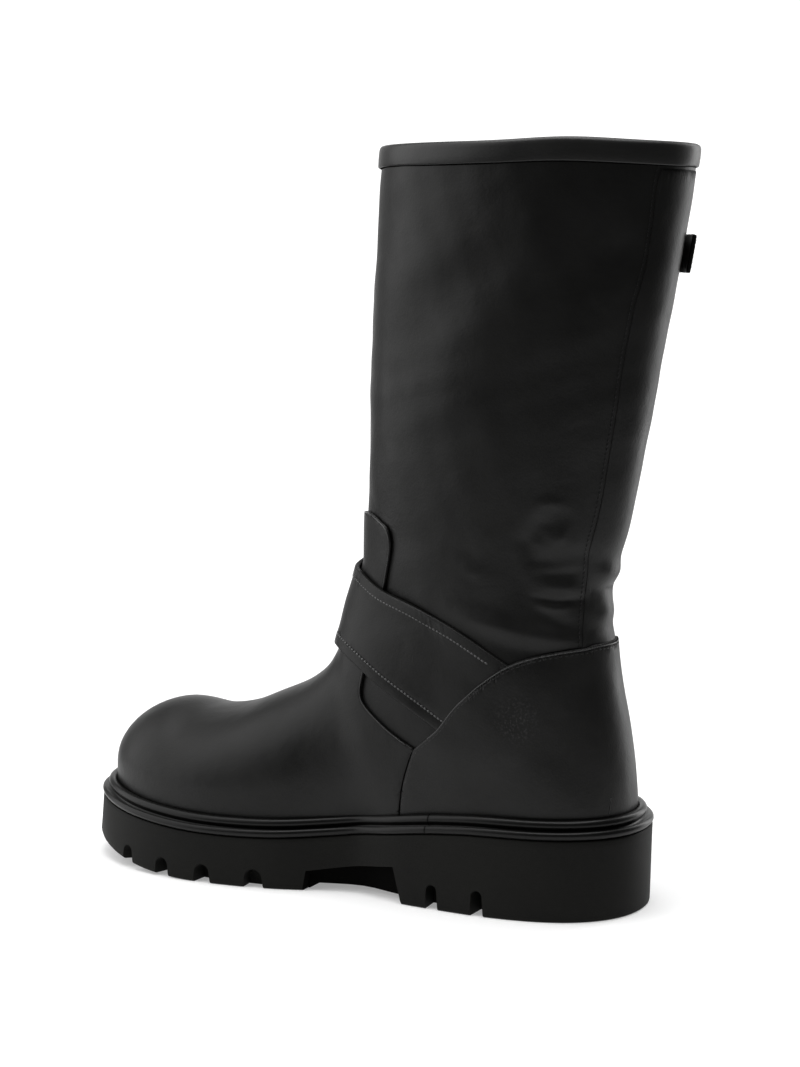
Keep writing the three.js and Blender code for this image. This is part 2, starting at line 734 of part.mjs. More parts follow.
function makeStrap(slot) {
  const half = strap_width / 2;
  const crest = sidePoints([strap_crest.top, strap_crest.low]);
  const tip = half / 2;
  const at = (along, across) => onStrap(instep_set, along, across);
  const outer_outline = [
    at(tail_end, tip), at(tail_end - tip, 0), at(tail_end, -tip), at(tail_end + tip, -half),
    at(frame_length / 2, -half), crest[1], new THREE.Vector2(crest[1].x + tip, crest[1].y),
    new THREE.Vector2(crest[0].x + tip, crest[0].y), crest[0], at(frame_length / 2, half),
    at(tail_end + tip, half),
  ];
  const inner = layer({
    low: strapUnder, high: strapTop, outline: sidePoints(inner_strap_outline),
    from_y: -clearance, to_y: side_reach, ...inner_grid,
  });
  const outer = layer({
    low: strapUnder, high: strapTop, outline: outer_outline, from_y: -side_reach, to_y: 0,
    rows: instep_set.rows, columns: instep_set.columns,
  });
  return inner.subtract(counter_gap).add(outer).subtract(slot);
}

function onOuterSide(set, low, high, outline, to_y = 0) {
  return layer({ low, high, outline, from_y: -side_reach, to_y, rows: set.rows, columns: set.columns });
}

// A short strap from under the counter, which holds the instep buckle's rear bar
function makeAnchor() {
  const outline = strapBox(instep_set, tail_end, 0, strap_width / 2);
  return onOuterSide(instep_set, on_face, on_face + overlay, outline).subtract(counter_gap);
}

// The strap near the collar: sewn down at its front end, through its buckle to a tail that stands
// off round the back
const top_front = 63;           // from the middle of its buckle to its sewn end
const top_tail = -60;
const top_tail_y = -14;         // where the tail ends, from the middle of the back
const tail_lift = { height: 3, start: 20, run: 22 };

function topUnder(point) {
  const share = (-alongStrap(top_set, point) - tail_lift.start) / tail_lift.run;
  const lift = tail_lift.height * smooth(share);
  return on_face + humpOver(top_set, point) + lift;
}

function makeTopStrap(slot) {
  return onOuterSide(top_set, topUnder, (point) => topUnder(point) + strap_leather,
    strapBox(top_set, top_tail, top_front, top_strap_width / 2), top_tail_y).subtract(slot);
}

// A buckle's frame: the rear bar under the strap, the front bar over it, two sides between
function makeFrame(set) {
  const inner_half = set.width / 2 + frame_play;
  const outer_half = inner_half + set.bar;
  const end = set.length / 2;
  const over = set.base + strap_leather + strap_play;
  const top = over + set.bar;
  const bars = [
    [set.base, set.base + set.bar, strapBox(set, -end, -end + set.bar, -outer_half)],
    [over, top, strapBox(set, end - set.bar, end, -outer_half)],
    [set.base, top, strapBox(set, -end, end, inner_half, outer_half)],
    [set.base, top, strapBox(set, -end, end, -outer_half, -inner_half)],
  ];
  return bars.map(([low, high, outline]) => onOuterSide(set, low, high, outline))
    .reduce((solid, bar) => solid.add(bar));
}

// A prong leans on the front bar and comes up through the strap in front of the rear bar
const prong_reach = 0.87;       // share of the frame's length over which it rises
const prong_flat = 0.7;         // its thickness, as a share of its width

function makeProng(set, play) {
  const low = set.base + set.bar / 2;
  const high = set.base + strap_leather + strap_play + set.bar + strap_play;
  const under = (point) => (
    low + (high - low) * smooth((alongStrap(set, point) / set.length + 0.5) / prong_reach) - play
  );
  const from = -set.length / 2 + set.bar + clearance - play;
  return onOuterSide(set, under, (point) => under(point) + prong_width * prong_flat + 2 * play,
    strapBox(set, from, set.length / 2 + play, -prong_width / 2 - play));
}

// A loop over the instep strap's tail, with its two ends on the upper
function makeKeeper() {
  const from = keeper_middle - keeper_width / 2;
  const to = keeper_middle + keeper_width / 2;
  const half = strap_width / 2 + clearance;
  const high = on_overlay + strap_leather + strap_play;
  const under = on_face - overcut;
  const loop_outline = strapBox(instep_set, from, to, half + overlay);
  const room_outline = strapBox(instep_set, from - overcut, to + overcut, half);
  const loop = onOuterSide(instep_set, on_face, high + overlay, loop_outline);
  const room = onOuterSide(instep_set, under, high, room_outline);
  const counter = onOuterSide(instep_set, under, on_face + overlay + clearance, counter_reach);
  return loop.subtract(room).subtract(counter);
}

// The binding folds over the collar's edge: its section goes round from outside to inside
function makeBinding() {
  const face = clearance;
  const back = -wall - clearance;
  const rise = -clearance - binding_leather;
  const section = [
    [face, binding_height], [face + binding_leather, binding_height],
    [face + binding_leather, rise / 2], [face, rise], [back, rise],
    [back - binding_leather, rise / 2], [back - binding_leather, binding_height], [back, binding_height],
    [back, -clearance], [face, -clearance],
  ];
  const rings = Array.from({ length: upper_columns }, (_, i) => {
    const angle = (i / upper_columns) * 2 * Math.PI;
    return section.map(([offset, down]) => {
      const edge = upperPoint(last_row, angle, offset);
      const below = upperPoint(last_row - 1, angle, offset);
      return edge.clone().lerp(below, down / (edge.z - below.z));
    });
  });
  return ringAround(rings);
}

const vamp = makeVamp();
const counter = makeCounter();
const buckle_prong = makeProng(instep_set, 0);
const instep_strap = makeStrap(makeProng(instep_set, clearance));
const anchor = makeAnchor();
const buckle_frame = makeFrame(instep_set);
const keeper = makeKeeper();
const top_prong = makeProng(top_set, 0);
const top_strap = makeTopStrap(makeProng(top_set, clearance));
const top_frame = makeFrame(top_set);
const binding = makeBinding();

const materials = {
  leather: new THREE.MeshStandardMaterial({ color: 0x1d1d1f, roughness: 0.45, metalness: 0 }),
  sole: new THREE.MeshStandardMaterial({ color: 0x141413, roughness: 0.7, metalness: 0 }),
  welt: new THREE.MeshStandardMaterial({ color: 0x1a1a1a, roughness: 0.35, metalness: 0 }),
  lining: new THREE.MeshStandardMaterial({ color: 0x2a2623, roughness: 0.8, metalness: 0 }),
  metal: new THREE.MeshStandardMaterial({ color: 0x9a9a98, roughness: 0.3, metalness: 1 }),
};

function meshOf(name, solid, material) {
  const result = solid.getMesh();
  const geometry = new THREE.BufferGeometry();
  geometry.setAttribute("position", new THREE.Float32BufferAttribute(result.vertProperties, 3));
  geometry.setIndex(Array.from(result.triVerts));
  const mesh = new THREE.Mesh(geometry, material);
  mesh.name = name;
  return mesh;
}

const boot = new THREE.Group();
boot.add(meshOf("outsole", outsole, materials.sole));
boot.add(meshOf("welt", welt, materials.welt));
boot.add(meshOf("insole", insole, materials.lining));
boot.add(meshOf("upper", upper, materials.leather));
boot.add(meshOf("vamp", vamp, materials.leather));
boot.add(meshOf("counter", counter, materials.leather));
boot.add(meshOf("instep_strap", instep_strap, materials.leather));
boot.add(meshOf("buckle_anchor", anchor, materials.leather));
boot.add(meshOf("strap_keeper", keeper, materials.leather));
boot.add(meshOf("buckle_frame", buckle_frame, materials.metal));
boot.add(meshOf("buckle_prong", buckle_prong, materials.metal));
boot.add(meshOf("top_strap", top_strap, materials.leather));
boot.add(meshOf("top_buckle_frame", top_frame, materials.metal));
boot.add(meshOf("top_buckle_prong", top_prong, materials.metal));
boot.add(meshOf("collar_binding", binding, materials.leather));
export default boot;
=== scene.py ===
# Looks of the right-foot buckle boot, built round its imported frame.
# Sizes are in millimetres until a mesh is made; +X is to the toe, +Y to the inner side, +Z up.
import math
from itertools import groupby

import bmesh
import bpy
import numpy as np
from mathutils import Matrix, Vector, geometry
from mathutils.kdtree import KDTree


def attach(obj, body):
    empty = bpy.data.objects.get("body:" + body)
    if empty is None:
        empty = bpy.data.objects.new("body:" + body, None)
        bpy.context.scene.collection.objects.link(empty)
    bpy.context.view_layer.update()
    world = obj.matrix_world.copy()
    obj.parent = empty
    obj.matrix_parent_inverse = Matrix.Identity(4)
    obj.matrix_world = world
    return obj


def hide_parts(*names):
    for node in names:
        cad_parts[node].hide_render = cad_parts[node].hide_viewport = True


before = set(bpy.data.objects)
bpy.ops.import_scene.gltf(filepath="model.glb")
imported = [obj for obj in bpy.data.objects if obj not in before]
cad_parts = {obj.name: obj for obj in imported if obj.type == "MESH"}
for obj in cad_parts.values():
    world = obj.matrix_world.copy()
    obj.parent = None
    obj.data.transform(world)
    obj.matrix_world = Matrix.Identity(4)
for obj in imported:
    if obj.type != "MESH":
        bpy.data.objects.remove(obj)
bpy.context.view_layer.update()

# Sizes of the boot, the same as those of the CAD part
LAST, SETBACK, BALL, INSTEP, HEIGHT, DEPTH, WIDTH = 277, 42, 96, 150, 356, 157, 104
WALL, GAP, LAYER, PLAY = 2.2, 0.3, 1.6, 0.9
HEEL_LIP, BALL_LIP, TOE_LIP, SPRING = 37.3, 23.7, 31.0, 12.5
WELT_REACH, LIP_INSET, TREAD_SHIFT = 10.0, 0.6, 1.5
STRAP_LEATHER, STRAP_WIDTH, STRAP_SLOPE = 2.0, 29, 27
BAR, FRAME_LENGTH, FRAME_PLAY, PRONG = 3.2, 30, 1, 3
TOP_WIDTH, TOP_LEVEL, TOP_BAR, TOP_LENGTH = 18, 1.757, 2.4, 20
OVER_LAYER = GAP + LAYER + PLAY

# Sections of the upper, from the toe tip to the ankle: front x and level, back x and level, inner
# and outer half width, shift, middle, and the exponents of the front and back curves
FOOT = [
    (1.000, 0.465, 1.000, -0.100, 0.385, 0.365, 0.020, 0.70, 2.20, 2.60),
    (0.895, 0.500, 0.895, -0.100, 0.453, 0.448, 0.016, 0.69, 2.10, 2.80),
    (0.815, 0.488, 0.815, -0.100, 0.484, 0.479, 0.010, 0.68, 2.00, 3.00),
    (0.739, 0.512, 0.739, -0.100, 0.495, 0.505, 0.005, 0.64, 2.00, 3.00),
    (0.674, 0.560, 0.670, -0.090, 0.484, 0.510, 0.000, 0.59, 2.00, 3.00),
    (0.608, 0.615, 0.601, -0.070, 0.450, 0.495, 0.000, 0.55, 2.00, 2.80),
    (0.561, 0.683, 0.530, -0.020, 0.405, 0.469, 0.000, 0.50, 2.05, 2.30),
    (0.535, 0.765, 0.428, 0.050, 0.378, 0.427, 0.000, 0.45, 2.10, 2.00),
    (0.524, 0.840, 0.319, 0.020, 0.394, 0.406, 0.000, 0.46, 2.15, 2.60),
    (0.516, 0.905, 0.210, 0.000, 0.401, 0.401, 0.000, 0.46, 2.20, 2.80),
    (0.508, 0.958, 0.109, 0.020, 0.410, 0.410, 0.000, 0.46, 2.20, 2.80),
    (0.501, 1.002, 0.040, 0.100, 0.409, 0.409, 0.000, 0.46, 2.20, 2.60),
    (0.496, 1.035, 0.012, 0.235, 0.406, 0.406, 0.000, 0.46, 2.15, 2.40),
    (0.497, 1.072, 0.010, 0.385, 0.399, 0.399, 0.000, 0.47, 2.10, 2.20),
    (0.495, 1.115, 0.019, 0.535, 0.402, 0.402, 0.000, 0.48, 2.10, 2.10),
    (0.493, 1.159, 0.033, 0.675, 0.408, 0.408, 0.000, 0.49, 2.05, 2.05),
    (0.491, 1.202, 0.041, 0.805, 0.415, 0.415, 0.000, 0.50, 2.00, 2.00),
    (0.490, 1.245, 0.046, 0.927, 0.423, 0.423, 0.000, 0.50, 2.00, 2.00),
]
# Sections of the shaft: front x and level, depth, back level, half width
SHAFT = [
    (0.489, 1.293, 0.799, 1.029, 0.400), (0.487, 1.356, 0.831, 1.125, 0.412),
    (0.4855, 1.447, 0.867, 1.260, 0.427), (0.482, 1.567, 0.904, 1.428, 0.446),
    (0.476, 1.707, 0.942, 1.611, 0.467), (0.469, 1.856, 0.977, 1.797, 0.485),
    (0.460, 2.000, 1.000, 1.992, 0.500),
]
LIP = [(-0.10, 1, 0), (0.10, 1, 0), (0.27, 0.88, 0), (0.52, 0.17, 0), (0.72, 0, 0), (0.88, 0, 0.34), (1.03, 0, 1)]


def height(level):
    level = np.asarray(level, float)
    return np.where(level < 1, level * INSTEP, INSTEP + (level - 1) * (HEIGHT - INSTEP))


def along(share):
    return np.asarray(share, float) * LAST - SETBACK


def smooth(share):
    f = np.clip(share, 0, 1)
    return f * f * (3 - 2 * f)


def unit(v):
    return v / np.maximum(np.linalg.norm(v, axis=-1, keepdims=True), 1e-9)


def sections():
    foot = np.array(FOOT)
    shaft = np.array(SHAFT)
    n = len(shaft)
    front = along(shaft[:, 0])
    columns = {
        "fx": (along(foot[:, 0]), front), "fz": (height(foot[:, 1]), height(shaft[:, 1])),
        "bx": (along(foot[:, 2]), front - shaft[:, 2] * DEPTH), "bz": (height(foot[:, 3]), height(shaft[:, 3])),
        "inner": (foot[:, 4] * BALL, shaft[:, 4] * WIDTH), "outer": (foot[:, 5] * BALL, shaft[:, 4] * WIDTH),
        "shift": (foot[:, 6] * BALL, np.zeros(n)), "middle": (foot[:, 7], np.full(n, 0.5)),
        "round_front": (foot[:, 8], np.full(n, 2.0)), "round_back": (foot[:, 9], np.full(n, 2.0)),
    }
    return {name: np.concatenate(pair) for name, pair in columns.items()}


SECTION = sections()
LAST_ROW = len(SECTION["fx"]) - 1


def through(values, place):
    place = np.asarray(place, float)
    n = len(values)
    k = np.clip(np.floor(place).astype(int), 0, n - 2)
    f = place - k
    a, b = values[k], values[k + 1]
    before = np.where(k > 0, values[np.maximum(k - 1, 0)], 2 * a - b)
    after = np.where(k < n - 2, values[np.minimum(k + 2, n - 1)], 2 * b - a)
    f2, f3 = f * f, f * f * f
    curve = ((2 * f3 - 3 * f2 + 1) * a + (f3 - 2 * f2 + f) * (b - before) / 2
             + (3 * f2 - 2 * f3) * b + (f3 - f2) * (after - a) / 2)
    return np.where(f > 1, b + (f - 1) * (b - a), curve)


def closing(x, start, power):
    share = np.maximum(0, (x - along(start)) / (along(1) - along(start)))
    return np.maximum(0, 1 - share ** power) ** (1 / power)


def face(row, angle):
    at = {name: through(values, row) for name, values in SECTION.items()}
    dx, dz = at["fx"] - at["bx"], at["fz"] - at["bz"]
    cx, cz = at["bx"] + dx * at["middle"], at["bz"] + dz * at["middle"]
    c, s = np.cos(angle), np.sin(angle)
    power = np.where(c > 0, at["round_front"], at["round_back"])
    reach = (np.abs(c) ** power + np.abs(s) ** power) ** (-1 / power)
    half = np.where(s > 0, at["inner"], at["outer"])
    rise = np.where(c > 0, 1 - at["middle"], at["middle"]) * reach * c * closing(cx, 0.875, 2.25)
    wide = half * reach * s * closing(cx, 0.76, 2.6)
    return np.stack([cx + dx * rise, at["shift"] + wide, cz + dz * rise], -1)


def normal(row, angle):
    step = np.minimum(0.02, np.maximum(row / 2, 0.0005))
    rows = face(row + step, angle) - face(row - np.minimum(step, row), angle)
    turn = face(row, angle + 0.01) - face(row, angle - 0.01)
    return unit(np.cross(turn, rows))


# Folds and dents: side (1 inner, -1 outer, 0 both), depth (+ is a ridge), half width, then a line
# in side view
FOLDS = [
    (1, -0.9, 15, 54, 272, 30, 288, 12, 300, -4, 314),
    (1, 0.7, 14, 41, 254, 20, 272, 0, 288, -10, 308),
    (1, 0.5, 10, -13, 345, -13, 323, -10, 307, -7, 290),
    (1, -0.6, 12, -38, 309, -50, 302),
    (1, -0.6, 14, -4, 292, -17, 282, -28, 274),
    (1, 0.6, 15, 64, 218, 37, 235, 11, 248, -8, 263),
    (1, -0.5, 15, 60, 196, 34, 212, 8, 224),
    (1, -0.5, 13, -14, 245, -24, 222, -22, 200),
    (1, -1.1, 4.5, -19, 184, -9, 180, -4, 172, -6, 164, -14, 163, -24, 166),
    (1, 1.1, 5.0, -15, 175, -19, 173),
    (1, -0.8, 9.0, -2, 196, -3, 180, -2, 160, -6, 142),
    (1, 0.6, 2.6, -9, 189, -14, 191, -19, 190),
    (1, -0.5, 2.4, -7, 157, -16, 157, -25, 158),
    (1, 1.0, 3.4, -7, 152, -15, 151, -23, 150),
    (1, -0.8, 1.8, -5, 146.5, -10, 145.5, -15, 144.5, -23, 145),
    (1, 0.4, 1.6, -8, 142, -13, 141, -18, 141.5),
    (1, -1.0, 4.0, -4, 143, -12, 136, -24, 129),
    (1, 1.3, 5.0, 36, 140, 20, 135, 4, 131, -15, 127, -24, 126),
    (1, -0.6, 5.0, 20, 126, 4, 122, -14, 120, -24, 121),
    (1, 0.5, 4.0, 29, 161, 23, 158, 17, 157),
    (1, -0.5, 7.0, 40, 170, 30, 166, 18, 166),
    (0, 1.3, 4.5, -28, 157, -34, 156, -40, 156),
    (0, -0.9, 3.0, -27, 149, -33, 147, -40, 146),
    (0, 1.2, 4.0, -27, 139, -33, 137, -40, 136),
    (0, -1.0, 3.2, -27, 130, -33, 129, -40, 128),
    (-1, -1.0, 12, 52, 280, 26, 262, 4, 240),
    (-1, 0.8, 11, 58, 262, 30, 244, 8, 222),
    (-1, -1.0, 4.5, 60, 172, 30, 164, 6, 160, -22, 166),
    (-1, 1.0, 5.0, 58, 163, 30, 155, 4, 150, -26, 154),
    (-1, -0.9, 4, 50, 152, 24, 145, 0, 140, -26, 143),
]


def relief(points):
    total = np.zeros(len(points))
    side = points[:, 1]
    xz = points[:, [0, 2]]
    for which, depth, half, *line in FOLDS:
        line = np.reshape(line, (-1, 2)).astype(float)
        lengths = np.linalg.norm(np.diff(line, axis=0), axis=1)
        whole, run = lengths.sum(), 0.0
        near, place = np.full(len(xz), 1e9), np.zeros(len(xz))
        for a, b, length in zip(line[:-1], line[1:], lengths):
            t = np.clip(((xz - a) @ (b - a)) / length ** 2, 0, 1)
            d = np.linalg.norm(xz - (a + t[:, None] * (b - a)), axis=1)
            closer = d < near
            near, place = np.where(closer, d, near), np.where(closer, (run + t * length) / whole, place)
            run += length
        fade = 0.35 + 0.65 * smooth(np.minimum(place, 1 - place) / 0.3)
        on_side = 1.0 if which == 0 else smooth((which * side + 6) / 12)
        q = near / half
        total += depth * fade * on_side * (1.25 * np.exp(-q * q) - 0.25 * np.exp(-q * q / 4))
    x, y, z = points.T
    swell = np.sin(x * 0.071 + z * 0.047) * np.sin(z * 0.083 - x * 0.03) * smooth((z - 110) / 40)
    fine = (np.sin(x * 0.21 + z * 0.13 + 1.3 * np.sin(z * 0.05)) * np.sin(z * 0.19 - x * 0.11 + y * 0.05)
            * smooth((z - 95) / 40))
    seam_x = np.interp(z, [140, 200, 280, 345], [-24, -36, -51, -63])
    by_seam = (np.exp(-((x - seam_x - 13) / 11) ** 2) * smooth((z - 185) / 20) * smooth((310 - z) / 20)
               * smooth(side / 10))
    ripples = (np.sin(z * 1.25 + 2 * np.sin(x * 0.25) + 1.5 * np.sin(z * 0.21))
               * (0.5 + 0.5 * np.sin(z * 0.33 + x * 0.4)))
    return total + 0.35 * swell + 0.13 * fine + 0.07 * by_seam * ripples


# The whole face of the upper on a disc: the toe tip is its middle, the front line its +U radius
# and the inner side its +V side
def disc(row, angle):
    row = np.asarray(row, float)
    rho = np.where(row < 1, np.arccos(np.clip(1 - row, -1, 1)) / (math.pi / 2), row)
    return np.stack([rho * np.cos(angle), rho * np.sin(angle)], -1)


def undisc(uv):
    rho = np.hypot(uv[..., 0], uv[..., 1])
    row = np.where(rho < 1, 1 - np.cos(np.minimum(rho, 1) * math.pi / 2), rho)
    return row, np.arctan2(uv[..., 1], uv[..., 0])


def on_disc(uv):
    return face(*undisc(uv))


def raised(uv, offset, folds=1.0):
    row, angle = undisc(uv)
    p, n = face(row, angle), normal(row, angle)
    high = offset(p) if callable(offset) else offset
    return p + n * (np.asarray(high) + folds * relief(p))[:, None]


# Places over each side of the upper, from which locate() starts
TABLE = {}
grid = np.meshgrid(np.linspace(0.03, LAST_ROW + 0.4, 330), np.linspace(0.0, math.pi, 150), indexing="ij")
for side in (1, -1):
    row, angle = grid[0].ravel(), side * grid[1].ravel()
    TABLE[side] = (row, angle, face(row, angle)[:, [0, 2]])


def locate(xz, side):
    """Places on the disc of side-view points on one side of the upper."""
    rows, angles, table = TABLE[side]
    xz = np.asarray(xz, float)
    pick = np.array([np.argmin(((table - p) ** 2).sum(1)) for p in xz])
    row, angle = rows[pick].copy(), angles[pick].copy()
    for _ in range(8):
        p = face(row, angle)[:, [0, 2]]
        dr = (face(row + 0.01, angle)[:, [0, 2]] - p) / 0.01
        da = (face(row, angle + 0.01)[:, [0, 2]] - p) / 0.01
        det = dr[:, 0] * da[:, 1] - dr[:, 1] * da[:, 0]
        det = np.where(np.abs(det) < 4, np.sign(det) * 4 + (det == 0) * 4, det)
        miss = xz - p
        more_row = np.clip((miss[:, 0] * da[:, 1] - miss[:, 1] * da[:, 0]) / det, -0.3, 0.3)
        row = np.clip(row + more_row, 0.01, LAST_ROW + 0.5)
        angle = angle + np.clip((dr[:, 0] * miss[:, 1] - dr[:, 1] * miss[:, 0]) / det, -0.1, 0.1)
        angle = np.where(side * angle < 0, 0, np.where(side * angle > math.pi, side * math.pi, angle))
    return disc(row, angle)


def curve(points, spacing=3.0):
    """A smooth open line through side-view points."""
    p = np.array(points, float)
    if len(p) == 2:
        n = max(2, int(np.linalg.norm(p[1] - p[0]) / spacing) + 1)
        return p[0] + (p[1] - p[0]) * np.linspace(0, 1, n)[:, None]
    n = max(4, int(np.linalg.norm(np.diff(p, axis=0), axis=1).sum() / spacing))
    place = np.linspace(0, len(p) - 1, n)
    return np.stack([through(p[:, 0], place), through(p[:, 1], place)], -1)


def shares(rows):
    rows = np.array(rows, float)
    return np.stack([along(rows[:, 0]), height(rows[:, 1])], -1)


def lip(x):
    table = np.array(LIP)
    z = BALL_LIP + table[:, 1] * (HEEL_LIP - BALL_LIP) + table[:, 2] * (TOE_LIP - BALL_LIP)
    share = (np.asarray(x, float) + SETBACK) / LAST
    k = np.clip(np.searchsorted(table[:, 0], share, side="right") - 1, 0, len(table) - 2)
    place = k + (share - table[k, 0]) / (table[k + 1, 0] - table[k, 0])
    return through(z, np.clip(place, 0, len(table) - 1))


def tread(x):
    start = along(0.745)
    share = np.maximum(0, (np.asarray(x, float) - start) / (along(1) + WELT_REACH - start))
    return SPRING * share * share


def bisect(low, high, past):
    a, b = np.broadcast_arrays(np.asarray(low, float), np.asarray(high, float))
    a, b = a.copy(), b.copy()
    for _ in range(40):
        m = (a + b) / 2
        over = past(m)
        a, b = np.where(over, a, m), np.where(over, m, b)
    return (a + b) / 2


def seam_ends(rise):
    def over(row):
        p = face(row, np.full_like(row, math.pi))
        return p[:, 2] - lip(p[:, 0]) - rise
    toe = bisect(np.array([0.001]), 2.0, lambda r: over(r) < 0)[0]
    heel = bisect(np.array([8.0]), 16.0, lambda r: over(r) > 0)[0]
    return toe, heel


def seam_angle(rows, side, rise):
    def past(a):
        p = face(rows, side * a)
        return p[:, 2] - lip(p[:, 0]) - rise < 0
    return side * bisect(np.full(len(rows), math.pi / 2), math.pi, past)


def seam_line(from_row, to_row, side, rise, count=60):
    rows = from_row + (to_row - from_row) * (1 - np.cos(np.linspace(0, math.pi, count))) / 2
    return disc(rows, seam_angle(rows, side, rise))


def front_row(level, low_row, high_row):
    """The row where the boot's front line reaches a height."""
    return bisect(np.array([low_row]), high_row, lambda r: face(r, np.zeros_like(r))[:, 2] > level)[0]


def level_arc(level, ends, low_row, high_row, count=16):
    """Places on the disc at one height, round the back from one place to another."""
    start, stop = (float(undisc(end[None])[1][0]) % (2 * math.pi) for end in ends)
    angles = np.linspace(start, stop, count)[1:-1]
    return disc(bisect(np.full(count - 2, low_row), high_row, lambda r: face(r, angles)[:, 2] > level), angles)


# Meshes
def mesh_object(name, points, faces, smooth_shading=True):
    mesh = bpy.data.meshes.new(name)
    mesh.from_pydata((np.asarray(points) * 0.001).tolist(), [], [tuple(int(i) for i in f) for f in faces])
    mesh.validate()
    mesh.update()
    obj = bpy.data.objects.new(name, mesh)
    bpy.context.scene.collection.objects.link(obj)
    mesh.polygons.foreach_set("use_smooth", [smooth_shading] * len(mesh.polygons))
    return obj


def finish_piece(obj, nodes=(), material=None):
    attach(obj, "root")
    if nodes:
        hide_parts(*nodes)
    if material:
        obj.data.materials.clear()
        obj.data.materials.append(material)
    return obj


def grid_faces(rows, columns, closed):
    faces = []
    last = columns if closed else columns - 1
    for i in range(rows - 1):
        for j in range(last):
            k = (j + 1) % columns
            faces.append((i * columns + j, i * columns + k, (i + 1) * columns + k, (i + 1) * columns + j))
    return faces


def closed_sweep(name, rings):
    """Closed sections round a closed loop."""
    n, m = len(rings), len(rings[0])
    points = np.concatenate(rings)
    faces = [(i * m + j, ((i + 1) % n) * m + j, ((i + 1) % n) * m + (j + 1) % m, i * m + (j + 1) % m)
             for i in range(n) for j in range(m)]
    return mesh_object(name, points, faces)


def resample(uv, spacing, closed):
    uv = np.asarray(uv)
    if closed:
        uv = np.concatenate([uv, uv[:1]])
    fine = np.concatenate([uv[i] + (uv[i + 1] - uv[i]) * np.linspace(0, 1, 8, endpoint=False)[:, None]
                           for i in range(len(uv) - 1)] + [uv[-1:]])
    length = np.concatenate([[0], np.cumsum(np.linalg.norm(np.diff(on_disc(fine), axis=0), axis=1))])
    count = max(3, int(round(length[-1] / spacing)))
    at = np.linspace(0, length[-1], count + 1)
    if closed:
        at = at[:-1]
    return np.stack([np.interp(at, length, fine[:, 0]), np.interp(at, length, fine[:, 1])], -1)


def inward_steps(uv, distance, closed=True, sign=1):
    """The border moved to its left by a distance along the upper's face."""
    p = on_disc(uv)
    tangent = np.roll(p, -1, 0) - np.roll(p, 1, 0) if closed else np.gradient(p, axis=0)
    left = np.cross(normal(*undisc(uv)), unit(tangent)) * sign
    eps = 0.004
    du = (on_disc(uv + [eps, 0]) - on_disc(uv - [eps, 0])) / (2 * eps)
    dv = (on_disc(uv + [0, eps]) - on_disc(uv - [0, eps])) / (2 * eps)
    a, b, c = (du * du).sum(1), (du * dv).sum(1), (dv * dv).sum(1)
    e, f = (du * left).sum(1), (dv * left).sum(1)
    det = np.maximum(a * c - b * b, 1e-6)
    return uv + distance * np.stack([(c * e - b * f) / det, (a * f - b * e) / det], -1)


def inside(points, polygon):
    x, y = points[:, 0], points[:, 1]
    result = np.zeros(len(points), bool)
    for (x1, y1), (x2, y2) in zip(polygon, np.roll(polygon, -1, 0)):
        if y1 != y2:
            result ^= ((y1 > y) != (y2 > y)) & (x < (x2 - x1) * (y - y1) / (y2 - y1) + x1)
    return result


def distances_to(uv):
    """Gives the distance of any points from a closed line on the disc."""
    line = on_disc(uv)
    steps = []
    for a, b in zip(line, np.roll(line, -1, 0)):
        n = max(1, int(np.linalg.norm(b - a) / 0.4))
        steps.append(a + (b - a) * np.linspace(0, 1, n, endpoint=False)[:, None])
    steps = np.concatenate(steps)
    tree = KDTree(len(steps))
    for i, p in enumerate(steps):
        tree.insert(Vector(p), i)
    tree.balance()
    return lambda points: np.array([tree.find(Vector(p))[2] for p in points])


EDGE = [(0.0, 0.52), (0.10, 0.74), (0.28, 0.90), (0.60, 0.985), (1.0, 1.0)]


